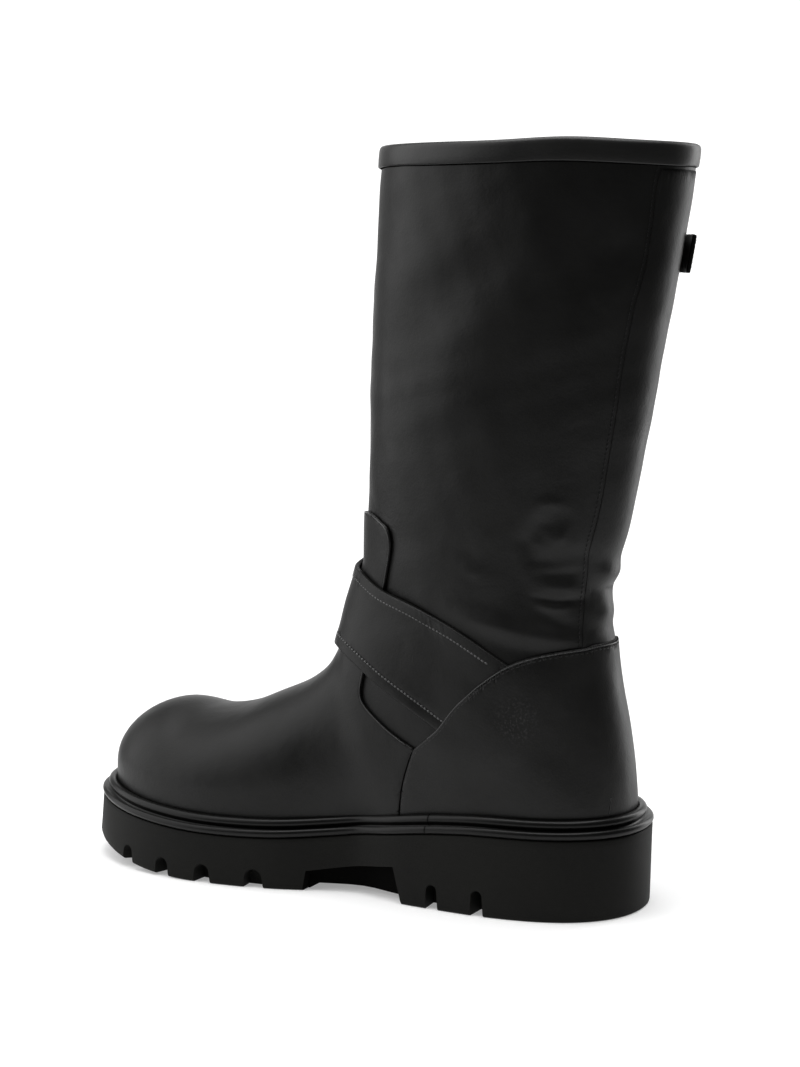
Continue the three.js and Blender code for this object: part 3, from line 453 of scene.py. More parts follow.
def patch(name, nodes, outline, low, high, row_step, columns, grid_rows, groove=None, band=0.0, folds=1.0,
          material=None):
    """A sheet of leather on the upper inside a closed outline on the disc, with a rounded edge.

    It reaches from the low to the high offset from the face. With a groove it has a sunk line at
    that distance from its edge, and a band raised outside it.
    """
    outline = resample(outline, 1.5, True)
    x, y = outline[:, 0], outline[:, 1]
    if (x * np.roll(y, -1) - np.roll(x, -1) * y).sum() < 0:
        outline = outline[::-1]
    from_edge = distances_to(outline)
    sign = 1 if inside(inward_steps(outline, 0.5), outline).mean() > 0.5 else -1
    steps = [d for d, _ in EDGE[1:]]
    if groove:
        steps += [groove - 0.8, groove - 0.35, groove, groove + 0.35, groove + 0.8]
    extra, far = [], []
    for d in steps:
        moved = inward_steps(outline, d, sign=sign)
        keep = (from_edge(on_disc(moved)) > d - 0.06 - 0.02 * d) & inside(moved, outline)
        extra.append(moved[keep])
        far.append(np.full(keep.sum(), d))
    rows = np.arange(*grid_rows, row_step)
    r, a = np.meshgrid(rows, np.linspace(-math.pi, math.pi, columns, endpoint=False), indexing="ij")
    a = a + (np.arange(len(rows)) % 2)[:, None] * math.pi / columns
    lattice = disc(r.ravel(), a.ravel())
    lattice = lattice[inside(lattice, outline)]
    near = from_edge(on_disc(lattice))
    keep = near > steps[-1] + 0.9
    lattice, near = lattice[keep], near[keep]
    uv = np.concatenate([outline] + extra + [lattice])
    distance = np.concatenate([np.zeros(len(outline))] + far + [near])
    n = len(outline)
    made = geometry.delaunay_2d_cdt([Vector(p) for p in uv], [], [list(range(n))], 1, 1e-7)
    out_uv = np.array([tuple(p) for p in made[0]])
    source = [o[0] if o else -1 for o in made[3]]
    depth = np.array([distance[o] if o >= 0 else from_edge(on_disc(out_uv[i:i + 1]))[0]
                      for i, o in enumerate(source)])
    shape = np.interp(depth, *np.transpose(EDGE))
    sink = np.zeros(len(depth))
    if groove:
        sink = band * smooth((groove - depth) / 0.8) - 0.28 * np.exp(-((depth - groove) / 0.5) ** 2)
    row, angle = undisc(out_uv)
    p, nrm = face(row, angle), normal(row, angle)
    fold = folds * relief(p)
    low, high = (offset(p) if callable(offset) else offset for offset in (low, high))
    top = p + nrm * (low + (high - low) * shape + sink + fold)[:, None]
    bottom = p + nrm * (low + fold)[:, None]
    faces = [list(f) for f in made[2]]
    on_edge = {o: i for i, o in enumerate(source) if 0 <= o < n}
    loop = [on_edge[i] for i in range(n) if i in on_edge]
    count = len(top)
    under = [[count + i for i in reversed(f)] for f in faces]
    walls = [(a, count + a, count + b, b) for a, b in zip(loop, loop[1:] + loop[:1])]
    obj = mesh_object(name, np.concatenate([top, bottom]), faces + under + walls)
    finish_piece(obj, nodes, material or LEATHER)
    return outline, sign


def capsule():
    rings = [(-0.5, 0.15), (-0.38, 0.8), (0.0, 1.0), (0.38, 0.8), (0.5, 0.15)]
    points = [(x, r * math.cos(t), r * math.sin(t)) for x, r in rings
              for t in np.linspace(0, 2 * math.pi, 6, endpoint=False)]
    return np.array(points), grid_faces(5, 6, True) + [tuple(range(5, -1, -1)), tuple(range(24, 30))]


def stitches(name, material, rows):
    """One object of stitches: line on the disc, offset, spacing, length, radius, share of the folds."""
    shape, shape_faces = capsule()
    points, faces = [], []
    for uv, offset, spacing, length, radius, folds in rows:
        line = resample(uv, spacing, False)
        p = raised(line, offset, folds)
        for q, t, up in zip(p, unit(np.gradient(p, axis=0)), normal(*undisc(line))):
            start = len(points) * len(shape)
            faces += [tuple(start + i for i in f) for f in shape_faces]
            points.append(q + shape[:, :1] * length * t + shape[:, 1:2] * radius * 1.2 * np.cross(up, t)
                          + shape[:, 2:] * radius * up)
    finish_piece(mesh_object(name, np.concatenate(points), faces), [], material)


def near_line(edge, distance, keep):
    """The part of a piece's border that keep() picks, moved in by a distance, as open lines."""
    outline, sign = edge
    moved = inward_steps(outline, distance, sign=sign)
    good = keep(on_disc(outline)) & (distances_to(outline)(on_disc(moved)) > distance * 0.84)
    order = np.arange(len(moved))
    if good.any() and not good.all():
        order = np.roll(order, -int(np.flatnonzero(~good)[0]))
    lines = []
    for fits, run in groupby(order, lambda i: good[i]):
        line = moved[list(run)]
        if not fits or len(line) < 5:
            continue
        for _ in range(6):
            line[1:-1] = (line[:-2] + 2 * line[1:-1] + line[2:]) / 4
        lines.append(line)
    return lines


# Materials
class Graph:
    """The shader nodes of a material or of the world."""

    def __init__(self, owner):
        owner.use_nodes = True
        self.nodes, self.links = owner.node_tree.nodes, owner.node_tree.links

    def put(self, node, inputs):
        """Sets a node's inputs, by name or number, to values or to other nodes' outputs."""
        for key, value in inputs.items():
            if isinstance(value, bpy.types.NodeSocket):
                self.links.new(value, node.inputs[key])
            else:
                node.inputs[key].default_value = value

    def add(self, kind, inputs, out, **settings):
        """Adds a node and returns one of its outputs."""
        node = self.nodes.new("ShaderNode" + kind)
        for key, value in settings.items():
            setattr(node, key, value)
        self.put(node, inputs)
        return node.outputs[out]

    def ramp(self, value, from_min, from_max, to_min, to_max, **settings):
        return self.add("MapRange", {"Value": value, "From Min": from_min, "From Max": from_max, "To Min": to_min,
                                     "To Max": to_max}, "Result", **settings)

    def object_place(self):
        return self.add("TexCoord", {}, "Object")


def surface(name, color, rough, rough_spread=0.05, grain=0.0, grain_size=1100, wrinkle=0.0, wrinkle_size=75,
            metallic=0.0, sheen=0.0, specular=0.5, scuff=None):
    """A material whose tint and roughness vary softly, with a wrinkle, a grain and a scuffed place."""
    material = bpy.data.materials.new(name)
    graph = Graph(material)
    place = graph.object_place()
    noise = graph.add("TexNoise", {"Vector": place, "Scale": 26.0, "Detail": 5.0}, "Fac")
    tint = graph.ramp(noise, 0.3, 0.7, 0.75, 1.25)
    colour = graph.add("Mix", {0: 1.0, 6: (*color, 1), 7: tint}, 2, data_type="RGBA", blend_type="MULTIPLY")
    if scuff:
        colour = worn(graph, place, colour, *scuff)
    inputs = {"Metallic": metallic, "Sheen Weight": sheen, "Sheen Roughness": 0.5, "Specular IOR Level": specular,
              "Roughness": graph.ramp(noise, 0.3, 0.7, rough - rough_spread, rough + rough_spread),
              "Base Color": colour}
    bump = {}
    if wrinkle:
        texture = graph.add("TexNoise", {"Vector": place, "Scale": wrinkle_size, "Detail": 3.0}, "Fac")
        bump["Normal"] = graph.add("Bump", {"Strength": wrinkle, "Distance": 0.0012, "Height": texture}, "Normal")
    if grain:
        texture = graph.add("TexVoronoi", {"Vector": place, "Scale": grain_size}, "Distance", feature="SMOOTH_F1")
        bump["Normal"] = graph.add("Bump", {"Strength": grain, "Distance": 0.0004, "Height": texture, **bump}, "Normal")
    graph.put(graph.nodes["Principled BSDF"], {**inputs, **bump})
    return material


def worn(graph, place, colour, middle, size):
    """A colour with fine pale scratches that fade out round one place."""
    offset = graph.add("VectorMath", {0: place, 1: middle}, "Vector", operation="SUBTRACT")
    far = graph.add("VectorMath", {0: offset}, "Value", operation="LENGTH")
    fade = graph.ramp(far, size * 0.15, size, 1.0, 0.0, interpolation_type="SMOOTHSTEP")
    scratches = graph.add("TexNoise", {"Vector": place, "Scale": 900.0, "Detail": 4.0}, "Fac")
    amount = graph.add("Math", {0: fade, 1: graph.ramp(scratches, 0.5, 0.75, 0.0, 1.0)}, "Value", operation="MULTIPLY")
    return graph.add("Mix", {0: amount, 6: colour, 7: (0.035, 0.035, 0.034, 1)}, 2, data_type="RGBA")


LEATHER = surface("leather_satin", (0.0033, 0.0033, 0.003), 0.46, 0.08, grain=0.12, wrinkle=0.34, wrinkle_size=62,
                  specular=0.25, scuff=((-0.001, 0.045, 0.091), 0.017))
BAND_LEATHER = surface("band_leather", (0.006, 0.006, 0.0057), 0.42, 0.06, grain=0.1, wrinkle=0.2, specular=0.36)
# A darker, duller copy of the leather for the top strap: painted shade, because that strap sits in shadow.
TOP_STRAP_SHADE = surface("top_strap_shade", (0.0022, 0.0022, 0.002), 0.6, grain=0.12, specular=0.08)
LINING = surface("lining_cloth", (0.05, 0.047, 0.043), 0.85, grain=0.4, grain_size=1400, sheen=0.2)
RUBBER = surface("sole_rubber", (0.0062, 0.0062, 0.0055), 0.62, grain=0.15, grain_size=1500, specular=0.10)
GLOSS = surface("welt_gloss", (0.0018, 0.0018, 0.0016), 0.33, 0.04, wrinkle=0.05, wrinkle_size=200, specular=0.2)
THREAD = surface("thread", (0.045, 0.045, 0.045), 0.35)
FINE_THREAD = surface("fine_thread", (0.006, 0.006, 0.006), 0.45, specular=0.3)
# Edge paint whose grey is lighter than the leather: in part a painted highlight along the rolled edges.
EDGE_PAINT_AND_HIGHLIGHT = surface("edge_paint_and_highlight", (0.012, 0.012, 0.012), 0.28)
# Near-black: painted shade in the arch recess and a painted shadow under the binding, and also the welt's dark joint.
SHADE_AND_JOINT_BLACK = surface("shade_and_joint_black", (0.0016, 0.0016, 0.0014), 0.8, specular=0.03)
METAL = surface("buckle_metal", (0.62, 0.61, 0.59), 0.24, metallic=1.0, wrinkle=0.03, wrinkle_size=300)

# The upper: its face, then its inside
UPPER_RISE, UPPER_COLUMNS, LINING_COLUMNS = -3.0, 228, 90
toe_row, heel_row = seam_ends(UPPER_RISE)
rows = np.concatenate([np.linspace(0.02, 1, 9)[:-1], np.arange(1, 6, 0.25), np.arange(6, 12, 0.1),
                       np.arange(12, LAST_ROW - 0.1, 0.062), [LAST_ROW - 0.04, LAST_ROW]])


def upper_grid(rows, columns, offset):
    """Points of the upper, open underneath where the sole closes it."""
    shares_round = np.linspace(-1, 1, columns)
    open_angle = np.full(len(rows), math.pi)
    low = (rows > toe_row) & (rows < heel_row)
    open_angle[low] = seam_angle(rows[low], 1, UPPER_RISE)
    r = np.repeat(rows, columns)
    angle = (shares_round[None, :] * open_angle[:, None]).ravel()
    p, n = face(r, angle), normal(r, angle)
    return p + n * (offset + relief(p))[:, None]


upper = mesh_object("upper_leather", upper_grid(rows, UPPER_COLUMNS, 0.0), grid_faces(len(rows), UPPER_COLUMNS, False))
coarse = rows[::3] if len(rows) % 3 == 1 else np.append(rows[::3], rows[-1])
inner = mesh_object("upper_lining", upper_grid(coarse, LINING_COLUMNS, -WALL),
                    [f[::-1] for f in grid_faces(len(coarse), LINING_COLUMNS, False)])
for piece in (upper, inner):
    bm = bmesh.new()
    bm.from_mesh(piece.data)
    bmesh.ops.remove_doubles(bm, verts=bm.verts, dist=1e-5)
    bm.to_mesh(piece.data)
    bm.free()
finish_piece(upper, ["upper"], LEATHER)
finish_piece(inner, [], LINING)

# Vamp, counter and back strip
WELT_RISE, VAMP_CREST, COUNTER_BACK = -1.0, 178.0, 123.6
COUNTER_FRONT = [(0.374, 0.160), (0.371, 0.270), (0.366, 0.347), (0.357, 0.411), (0.343, 0.480)]
COUNTER_SIDE = [(0.343, 0.480), (0.321, 0.513), (0.297, 0.549), (0.268, 0.619), (0.236, 0.678), (0.201, 0.731),
                (0.171, 0.768), (0.136, 0.793), (0.093, 0.810), (0.060, 0.818)]
VAMP_REAR = [(0.341, 0.482), (0.370, 0.507), (0.402, 0.541), (0.441, 0.594), (0.451, 0.617), (0.454, 0.641),
             (0.450, 0.690), (0.435, 0.833), (0.417, 0.965), (0.404, 1.036), (0.398, 1.080), (0.400, 1.103),
             (0.408, 1.121), (0.420, 1.129)]


def vamp_outline():
    rear, arcs, under = {}, {}, {}
    crest = front_row(VAMP_CREST, 10.0, 20.0)
    steps = np.linspace(0, 1, 12)[1:-1]
    for side in (1, -1):
        rear[side] = np.concatenate([locate((curve(shares(COUNTER_FRONT)) + [0.25, 0])[:-1], side),
                                     locate(curve(shares(VAMP_REAR), 2.0), side)])
        row, angle = (float(v[0]) for v in undisc(rear[side][-1:]))
        arcs[side] = disc(row + (crest - row) * smooth(steps), angle * (1 - steps))
        last = undisc(rear[1][:1])[0][0] + 0.4
        line = seam_line(seam_ends(WELT_RISE)[0], last, side, WELT_RISE)
        under[side] = line[on_disc(line)[:, 0] > along(COUNTER_FRONT[0][0])]
    return np.concatenate([rear[1], arcs[1], disc([crest], [0.0]), arcs[-1][::-1], rear[-1][::-1], under[-1][::-1],
                           under[1][1:]])


def counter_outline():
    sides, under = {}, {}
    for side in (1, -1):
        line = np.concatenate([curve(shares(COUNTER_FRONT))[:-1], curve(shares(COUNTER_SIDE), 2.0)])
        sides[side] = locate(line, side)
        first = undisc(sides[1][:1])[0][0] - 0.6
        line = seam_line(first, seam_ends(WELT_RISE)[1], side, WELT_RISE)
        under[side] = line[on_disc(line)[:, 0] < along(COUNTER_FRONT[0][0])]
    back = level_arc(COUNTER_BACK, (sides[1][-1], sides[-1][-1]), 12.5, 17.0)
    return np.concatenate([sides[1], back, sides[-1][::-1], under[-1], under[1][::-1][1:]])


def strap_end_rise(p):
    """The counter lies over the end of the instep strap on the inner side."""
    d = np.hypot(p[:, 0] - 24, p[:, 2] - 99)
    return GAP + LAYER + 1.1 * smooth((44 - d) / 20) * (p[:, 1] > 0)


vamp_edge = patch("vamp_leather", ["vamp"], vamp_outline(), GAP, GAP + LAYER, 0.085, 150, (0.05, 16))
counter_edge = patch("counter_leather", ["counter"], counter_outline(), GAP, strap_end_rise, 0.10, 190, (5, 16.5))

SEAM = [(-63.3, 343.9), (-61.7, 337.6), (-59.0, 318.1), (-56.3, 301.3), (-52.9, 288.5), (-50.8, 281.2), (-48.5, 270.2),
        (-44.8, 251.8), (-41.6, 233.4), (-38.9, 218.6), (-35.5, 199.9), (-31.6, 182.2), (-27.6, 168.2), (-25.8, 156.2),
        (-24.7, 149.2), (-23.7, 139.8), (-23.6, 132.5), (-23.8, 118.0)]
seam_in, seam_out = (locate(curve(SEAM, 4), side) for side in (1, -1))
strip_outline = np.concatenate([seam_in, level_arc(118.0, (seam_in[-1], seam_out[-1]), 11.0, 17.0), seam_out[::-1],
                                level_arc(343.9, (seam_out[0], seam_in[0]), 20.0, 24.5)])
strip_sign = patch("back_strip", [], strip_outline, 0.0, 0.4, 0.065, 190, (12, 25))[1]

# The collar's binding
ring_angles = np.linspace(0, 2 * math.pi, 240, endpoint=False)
edge_out, edge_in = GAP + 1.35, -WALL - GAP - 1.2


def binding_ring(offset, down):
    """A line round the collar at an offset from the upper's face, some way down from its edge."""
    top = np.full(240, float(LAST_ROW))
    p = face(top, ring_angles) + normal(top, ring_angles) * offset
    q = face(top - 1, ring_angles) + normal(top - 1, ring_angles) * offset
    wave = 0.2 * np.sin(ring_angles * 3 + 1) + 0.12 * np.sin(ring_angles * 7)
    t = (down + (wave if down > 7 else 0)) / (p[:, 2] - q[:, 2])
    higher = 1.7 * np.exp(-((p[:, 0] + 28) / 26) ** 2) * smooth((p[:, 1] + 30) / 40)
    return p + (q - p) * t[:, None] + higher[:, None] * np.array([0, 0, 1.0])


BINDING = [(GAP * 0.2, 9.0), (GAP + 0.5, 9.15), (edge_out - 0.2, 9.0), (edge_out, 8.5), (edge_out + 0.1, 5.0),
           (edge_out, 1.5), (edge_out - 0.2, 0.1), (edge_out - 0.8, -1.0), (-0.4, -1.5), (-WALL / 2 - 0.5, -1.5),
           (edge_in + 0.8, -1.2), (edge_in + 0.1, -0.2), (edge_in, 2.0), (edge_in, 8.4), (edge_in + 0.6, 9.0),
           (-WALL - GAP * 0.2, 9.0), (-WALL - GAP * 0.2, 0.2), (0.0, 0.2)]
binding = closed_sweep("binding_leather", list(np.stack([binding_ring(*place) for place in BINDING], 1)))
finish_piece(binding, ["collar_binding"], BAND_LEATHER)
# A near-black ring just under the binding's lower edge: a painted shadow where the binding overhangs the upper.
under_binding = closed_sweep("binding_shadow_line", list(np.stack([binding_ring(0.0, 8.9), binding_ring(GAP + 0.5, 9.3),
                                                            binding_ring(0.0, 9.75)], 1)))
finish_piece(under_binding, [], SHADE_AND_JOINT_BLACK)


# Straps and buckles on the outer side
class Set:
    """A strap and its buckle in side view, with places along and across it."""

    def __init__(self, x, level, slope, width, bar, length, base):
        turn = math.radians(slope)
        self.middle = np.array([float(along(x)), float(height(level))])
        self.a = np.array([math.cos(turn), math.sin(turn)])
        self.b = np.array([-math.sin(turn), math.cos(turn)])
        self.width, self.bar, self.length, self.base = width, bar, length, base

    def at(self, down, across):
        return self.middle + self.a * down + self.b * across

    def down(self, p):
        return (p[:, [0, 2]] - self.middle) @ self.a

    def hump(self, p):
        return (self.bar + GAP) * smooth((18 - np.abs(self.down(p) + self.length / 2 - self.bar / 2)) / 12)


instep = Set(0.361, 0.763, STRAP_SLOPE, STRAP_WIDTH, BAR, FRAME_LENGTH, OVER_LAYER)
top_set = Set(0.100, TOP_LEVEL, 0, TOP_WIDTH, TOP_BAR, TOP_LENGTH, GAP)
STRAP_TOP = [(0.160, 0.757), (0.171, 0.767), (0.220, 0.822), (0.266, 0.868), (0.312, 0.904), (0.359, 0.936),
             (0.416, 0.965), (0.447, 0.988), (0.470, 1.004)]
STRAP_LOW = [(0.287, 0.541), (0.297, 0.549), (0.349, 0.604), (0.399, 0.654), (0.454, 0.711), (0.488, 0.742),
             (0.510, 0.758)]
TAIL, TIP, STRAP_BAND, TOP_BAND = -53, 7.25, 5.2, 2.6


def strap_outline():
    top_in = locate(curve(shares(STRAP_TOP), 2.5), 1)
    low_in = locate(curve(shares(STRAP_LOW), 2.5), 1)
    half = STRAP_WIDTH / 2
    tail = [instep.at(TAIL + TIP, half), instep.at(TAIL + 1, TIP), instep.at(TAIL - TIP * 0.8, 0),
            instep.at(TAIL + 1, -TIP), instep.at(TAIL + TIP, -half)]
    top_out = curve([(along(0.478), height(1.008)), instep.at(34, half), instep.at(15, half), instep.at(-20, half),
                     instep.at(TAIL + TIP, half)], 2.5)
    low_out = curve([(along(0.510), height(0.790)), instep.at(15, -half), instep.at(-20, -half),
                     instep.at(TAIL + TIP, -half)], 2.5)
    outer = np.concatenate([locate(top_out, -1), locate(curve(tail, 1.5)[1:-1], -1), locate(low_out[::-1], -1)])
    return np.concatenate([top_in, disc([front_row(154.0, 8.0, 14.0)], [0.0]), outer,
                           disc([front_row(117.0, 4.0, 12.0)], [0.0]), low_in[::-1]])


def strap_low(p):
    share = smooth((p[:, 0] - along(0.30)) / (along(0.46) - along(0.30)))
    inner_side = 0.15 + (OVER_LAYER - 0.15) * share
    return np.where(p[:, 1] > 0, inner_side, OVER_LAYER + instep.hump(p))


def strap_high(p):
    thin = 1.5 + 0.5 * smooth((p[:, 0] - along(0.28)) / 20)
    return strap_low(p) + np.where(p[:, 1] > 0, thin, STRAP_LEATHER)


strap_edge = patch("instep_strap_leather", ["instep_strap"], strap_outline(), strap_low, strap_high, 0.12, 190,
                   (4, 15), groove=STRAP_BAND, band=0.35, folds=0.5)


def box_outline(which, start, end, low, high, spacing=3.0):
    corners = [which.at(start, low), which.at(end, low), which.at(end, high), which.at(start, high)]
    lines = [curve([corners[i], corners[(i + 1) % 4]], spacing)[:-1] for i in range(4)]
    return locate(np.concatenate(lines), -1)


patch("anchor_leather", ["buckle_anchor"], box_outline(instep, -36, 0, -STRAP_WIDTH / 2, STRAP_WIDTH / 2), GAP,
      GAP + LAYER, 0.15, 160, (5, 14), folds=0.5)


def tube(name, uv, offsets, radius, closed=False, squash=1.0, sides=14, folds=0.5):
    """A bar along a line on the disc, its middle at given offsets from the face."""
    p, n = face(*undisc(uv)), normal(*undisc(uv))
    c = p + n * (np.asarray(offsets) + folds * relief(p))[:, None]
    t = unit(np.roll(c, -1, 0) - np.roll(c, 1, 0) if closed else np.gradient(c, axis=0))
    side = unit(np.cross(n, t))
    up = np.cross(t, side)
    turn = np.linspace(0, 2 * math.pi, sides, endpoint=False)[None, :, None]
    r = np.broadcast_to(radius, len(c))[:, None, None]
    rings = c[:, None] + r * (np.cos(turn) * side[:, None] + squash * np.sin(turn) * up[:, None])
    if closed:
        return closed_sweep(name, list(rings))
    caps = [tuple(range(sides - 1, -1, -1)), tuple((len(c) - 1) * sides + i for i in range(sides))]
    return mesh_object(name, rings.reshape(-1, 3), grid_faces(len(c), sides, True) + caps)


def frame_line(which, half, corner, spacing=1.2):
    end = which.length / 2 - which.bar / 2
    arcs = []
    for sx, sy, start in ((1, 1, 0), (-1, 1, 90), (-1, -1, 180), (1, -1, 270)):
        for t in np.linspace(start, start + 90, 7):
            arcs.append(which.at(sx * (end - corner) + corner * math.cos(math.radians(t)),
                                 sy * (half - corner) + corner * math.sin(math.radians(t))))
    return np.concatenate([curve([a, b], spacing)[:-1] if np.linalg.norm(b - a) > spacing else [a]
                           for a, b in zip(arcs, arcs[1:] + arcs[:1])])


def buckle(which, name, node):
    half = which.width / 2 + FRAME_PLAY + which.bar / 2
    line = frame_line(which, half, which.bar * 1.3)
    down = (line - which.middle) @ which.a
    low = which.base + which.bar / 2
    high = which.base + STRAP_LEATHER + PLAY + which.bar / 2
    lift = low + (high - low) * smooth((down + which.length / 2) / which.length)
    bar = tube(name, locate(line, -1), lift, which.bar / 2, True, squash=0.85, sides=16)
    finish_piece(bar, [node], METAL)


def prong(which, name, node):
    start, end = -which.length / 2 + which.bar, which.length / 2 + 0.6
    place = np.linspace(start, end, 26)
    uv = locate([which.at(d, 0) for d in place], -1)
    low = which.base + which.bar / 2 + 1
    high = which.base + STRAP_LEATHER + PLAY + which.bar + PRONG * 0.38
    lift = low + (high - low) * smooth(((place / which.length) + 0.5) / 0.87)
    taper = (1 - 0.25 * smooth((place - start) / (end - start))) * np.minimum(1, 0.35 + (end - place) / 1.4)
    finish_piece(tube(name, uv, lift, PRONG / 2 * taper * which.bar / BAR, squash=0.7), [node], METAL)


for which, name, node in ((instep, "instep", "buckle"), (top_set, "top", "top_buckle")):
    buckle(which, name + "_frame", node + "_frame")
    prong(which, name + "_prong", node + "_prong")


def keeper_piece():
    half, side = STRAP_WIDTH / 2 + GAP, 1.4
    high = OVER_LAYER + STRAP_LEATHER + PLAY
    across = np.concatenate([np.linspace(-half - side, -half - 0.2, 5), np.linspace(-half, half, 26)[1:-1],
                             np.linspace(half + 0.2, half + side, 5)])
    rise = np.sqrt(np.clip((half + side - np.abs(across)) / 1.5, 0, 1))
    foot = GAP + 1.8
    rings = []
    for across_at, r in zip(across, rise):
        uv = locate([instep.at(d, across_at) for d in (-47, -46.7, -46, -42, -38, -37.3, -37)], -1)
        lift = np.array([-0.5, -0.1, 0, 0.05, 0, -0.1, -0.5]) + foot + (high + LAYER - foot) * r
        rings.append(raised(uv, lift, 0.5))
    obj = mesh_object("keeper_leather", np.concatenate(rings), grid_faces(len(across), 7, False))
    thick = obj.modifiers.new("thickness", "SOLIDIFY")
    thick.thickness, thick.offset = 0.0014, -1
    return obj


finish_piece(keeper_piece(), ["strap_keeper"], LEATHER)


def top_low(p):
    lift = 3.0 * smooth((-top_set.down(p) - 20) / 22)
    return GAP + top_set.hump(p) + lift


def top_outline():
    half, turned = TOP_WIDTH / 2, -2.5
    angles = -np.linspace(2.55, 2.93, 12)
    sides = []
    for across in (half, -half):
        line = locate(curve([top_set.at(63, across), top_set.at(-52, across)], 3), -1)
        z = top_set.at(0, across)[1]
        end = disc(bisect(np.full(12, 20.0), 25.0, lambda r: face(r, angles)[:, 2] > z), angles)
        sides.append(np.concatenate([line[undisc(line)[1] > turned], end]))
    return np.concatenate([sides[0], sides[1][::-1]])


# The top strap's darker leather is painted shade.
top_edge = patch("top_strap_leather", ["top_strap"], top_outline(), top_low, lambda p: top_low(p) + STRAP_LEATHER,
                 0.06, 190, (20, 25), groove=TOP_BAND, folds=0.3, material=TOP_STRAP_SHADE)


# Welt, insole and outsole
def plan_loop(rise, count=400):
    toe, heel = seam_ends(rise)
    share = (1 - np.cos(np.linspace(0, math.pi, 160))) / 2
    rows_at = toe + (heel - toe) * share
    inner_line = face(rows_at, seam_angle(rows_at, 1, rise))[:, :2]
    outer_line = face(rows_at, seam_angle(rows_at, -1, rise))[:, :2][::-1]
    loop = np.concatenate([inner_line[:-1], outer_line[:-1]])
    closed = np.concatenate([loop, loop[:1]])
    length = np.concatenate([[0], np.cumsum(np.linalg.norm(np.diff(closed, axis=0), axis=1))])
    at = np.linspace(0, length[-1], count, endpoint=False)
    p = np.stack([np.interp(at, length, closed[:, 0]), np.interp(at, length, closed[:, 1])], -1)
    for _ in range(14):
        p = (np.roll(p, 1, 0) + 2 * p + np.roll(p, -1, 0)) / 4
    t = unit(np.roll(p, -1, 0) - np.roll(p, 1, 0))
    return p, np.stack([t[:, 1], -t[:, 0]], -1)


PLAN, OUT = plan_loop(0.0)


def slab_ring(reach, shift, z):
    p = PLAN + OUT * reach
    x = p[:, 0] + shift
    return np.stack([x, p[:, 1], z(x)], -1)


def welt_profile():
    """The welt's two beads: reach and rise above the lip."""
    arcs = []
    for cx, cz, r, start, end in ((7.95, 2.05, 2.0, -90, 66), (4.5, 6.1, 2.3, -55, 138)):
        for t in np.radians(np.linspace(start, end, 12)):
            arcs.append((cx + r * math.cos(t), cz + r * math.sin(t)))
    arcs.insert(12, (5.2, 3.0))
    return [(-1.2, 0.05)] + arcs + [(1.6, 5.8), (0.6, 5.0), (-1.2, 5.0)]


welt_rings = np.stack([slab_ring(reach, 0, lambda x, z=z: lip(x) + 0.1 + z) for reach, z in welt_profile()], 1)
welt = closed_sweep("welt_beads", list(welt_rings))
finish_piece(welt, ["welt"], GLOSS)

# The dark line where the welt's ends meet, on the inner side
JOINT_AT, JOINT_WIDTH = (45, 60), 0.3
joint = int(np.argmin(np.hypot(*(PLAN - JOINT_AT).T)))
joint_line = [(reach + 0.12, z + 0.05) for reach, z in welt_profile()[1:-3]]
near_side, far_side = (np.array([(*(PLAN[k] + OUT[k] * reach), float(lip(PLAN[k, 0])) + 0.1 + z)
                                 for reach, z in joint_line]) for k in (joint, joint + 1))
joint_points = np.concatenate([near_side, near_side + JOINT_WIDTH * (far_side - near_side)])
finish_piece(mesh_object("welt_joint", joint_points, grid_faces(2, len(joint_line), False)), [], SHADE_AND_JOINT_BLACK)


def capped_slab(name, rings):
    """Rings on the sole's plan, closed below and above by quads from side to side."""
    n = len(rings[0])
    points = np.concatenate(rings)
    faces = grid_faces(len(rings), n, True)
    half = n // 2
    for layer, flip in ((0, True), (len(rings) - 1, False)):
        base = layer * n
        for j in range(half):
            quad = [base + j, base + j + 1, base + (n - j - 1) % n, base + (n - j) % n]
            quad = [q for k, q in enumerate(quad) if q not in quad[:k]]
            faces.append(tuple(reversed(quad)) if flip else tuple(quad))
    return mesh_object(name, points, faces)


def floor_height(rise):
    return lambda x: lip(x) + rise


insole = capped_slab("insole_board", [slab_ring(r, 0, floor_height(z)) for r, z in
                                      ((-4.0, 0.3), (-3.2, 0.6), (-3.0, 2.6), (-3.8, 3.4))])
finish_piece(insole, ["insole"], LINING)

REACH = WELT_REACH - LIP_INSET
# Rings of the sole's side: reach, share of the way up, and rise
SIDE_RINGS = [(-1.6, 0, 0), (-0.9, 0, 0.12), (-0.3, 0, 0.5), (0, 0, 1.4), (0, 0.3, 0), (0, 0.6, 0), (0, 0.9, 0),
              (0, 1, -0.9), (-0.25, 1, -0.25), (-0.9, 1, 0)]
outsole_rings = [slab_ring(REACH + reach, TREAD_SHIFT * (1 - up),
                           lambda x, u=up, d=dz: tread(x) * (1 - u) + lip(x) * u + d) for reach, up, dz in SIDE_RINGS]
outsole = capped_slab("outsole_rubber", outsole_rings)


ARCH_FEET, ARCH_TOPS = ([float(along(x)) for x in pair] for pair in ((0.356, 0.548), (0.374, 0.541)))
ARCH_HEIGHTS, ARCH_DEPTH, ARCH_LIFT = (17, 9.5), 6.5, 2.5
NOTCH, CHANNEL, CUT_LENGTH = 9, 5, 34
# Notches in the tread's side: place along and across, turn, width and depth
NOTCHES = [(0.297, 0.54, 4, 0.62, 1.28), (0.215, 0.54, -2, 0.62, 1.32), (0.628, 0.65, 6, 1, 1),
           (0.731, 0.67, -4, 0.9, 1), (0.820, 0.66, -14, 0.8, 0.95), (0.915, 0.6, -34, 0.75, 0.8)]


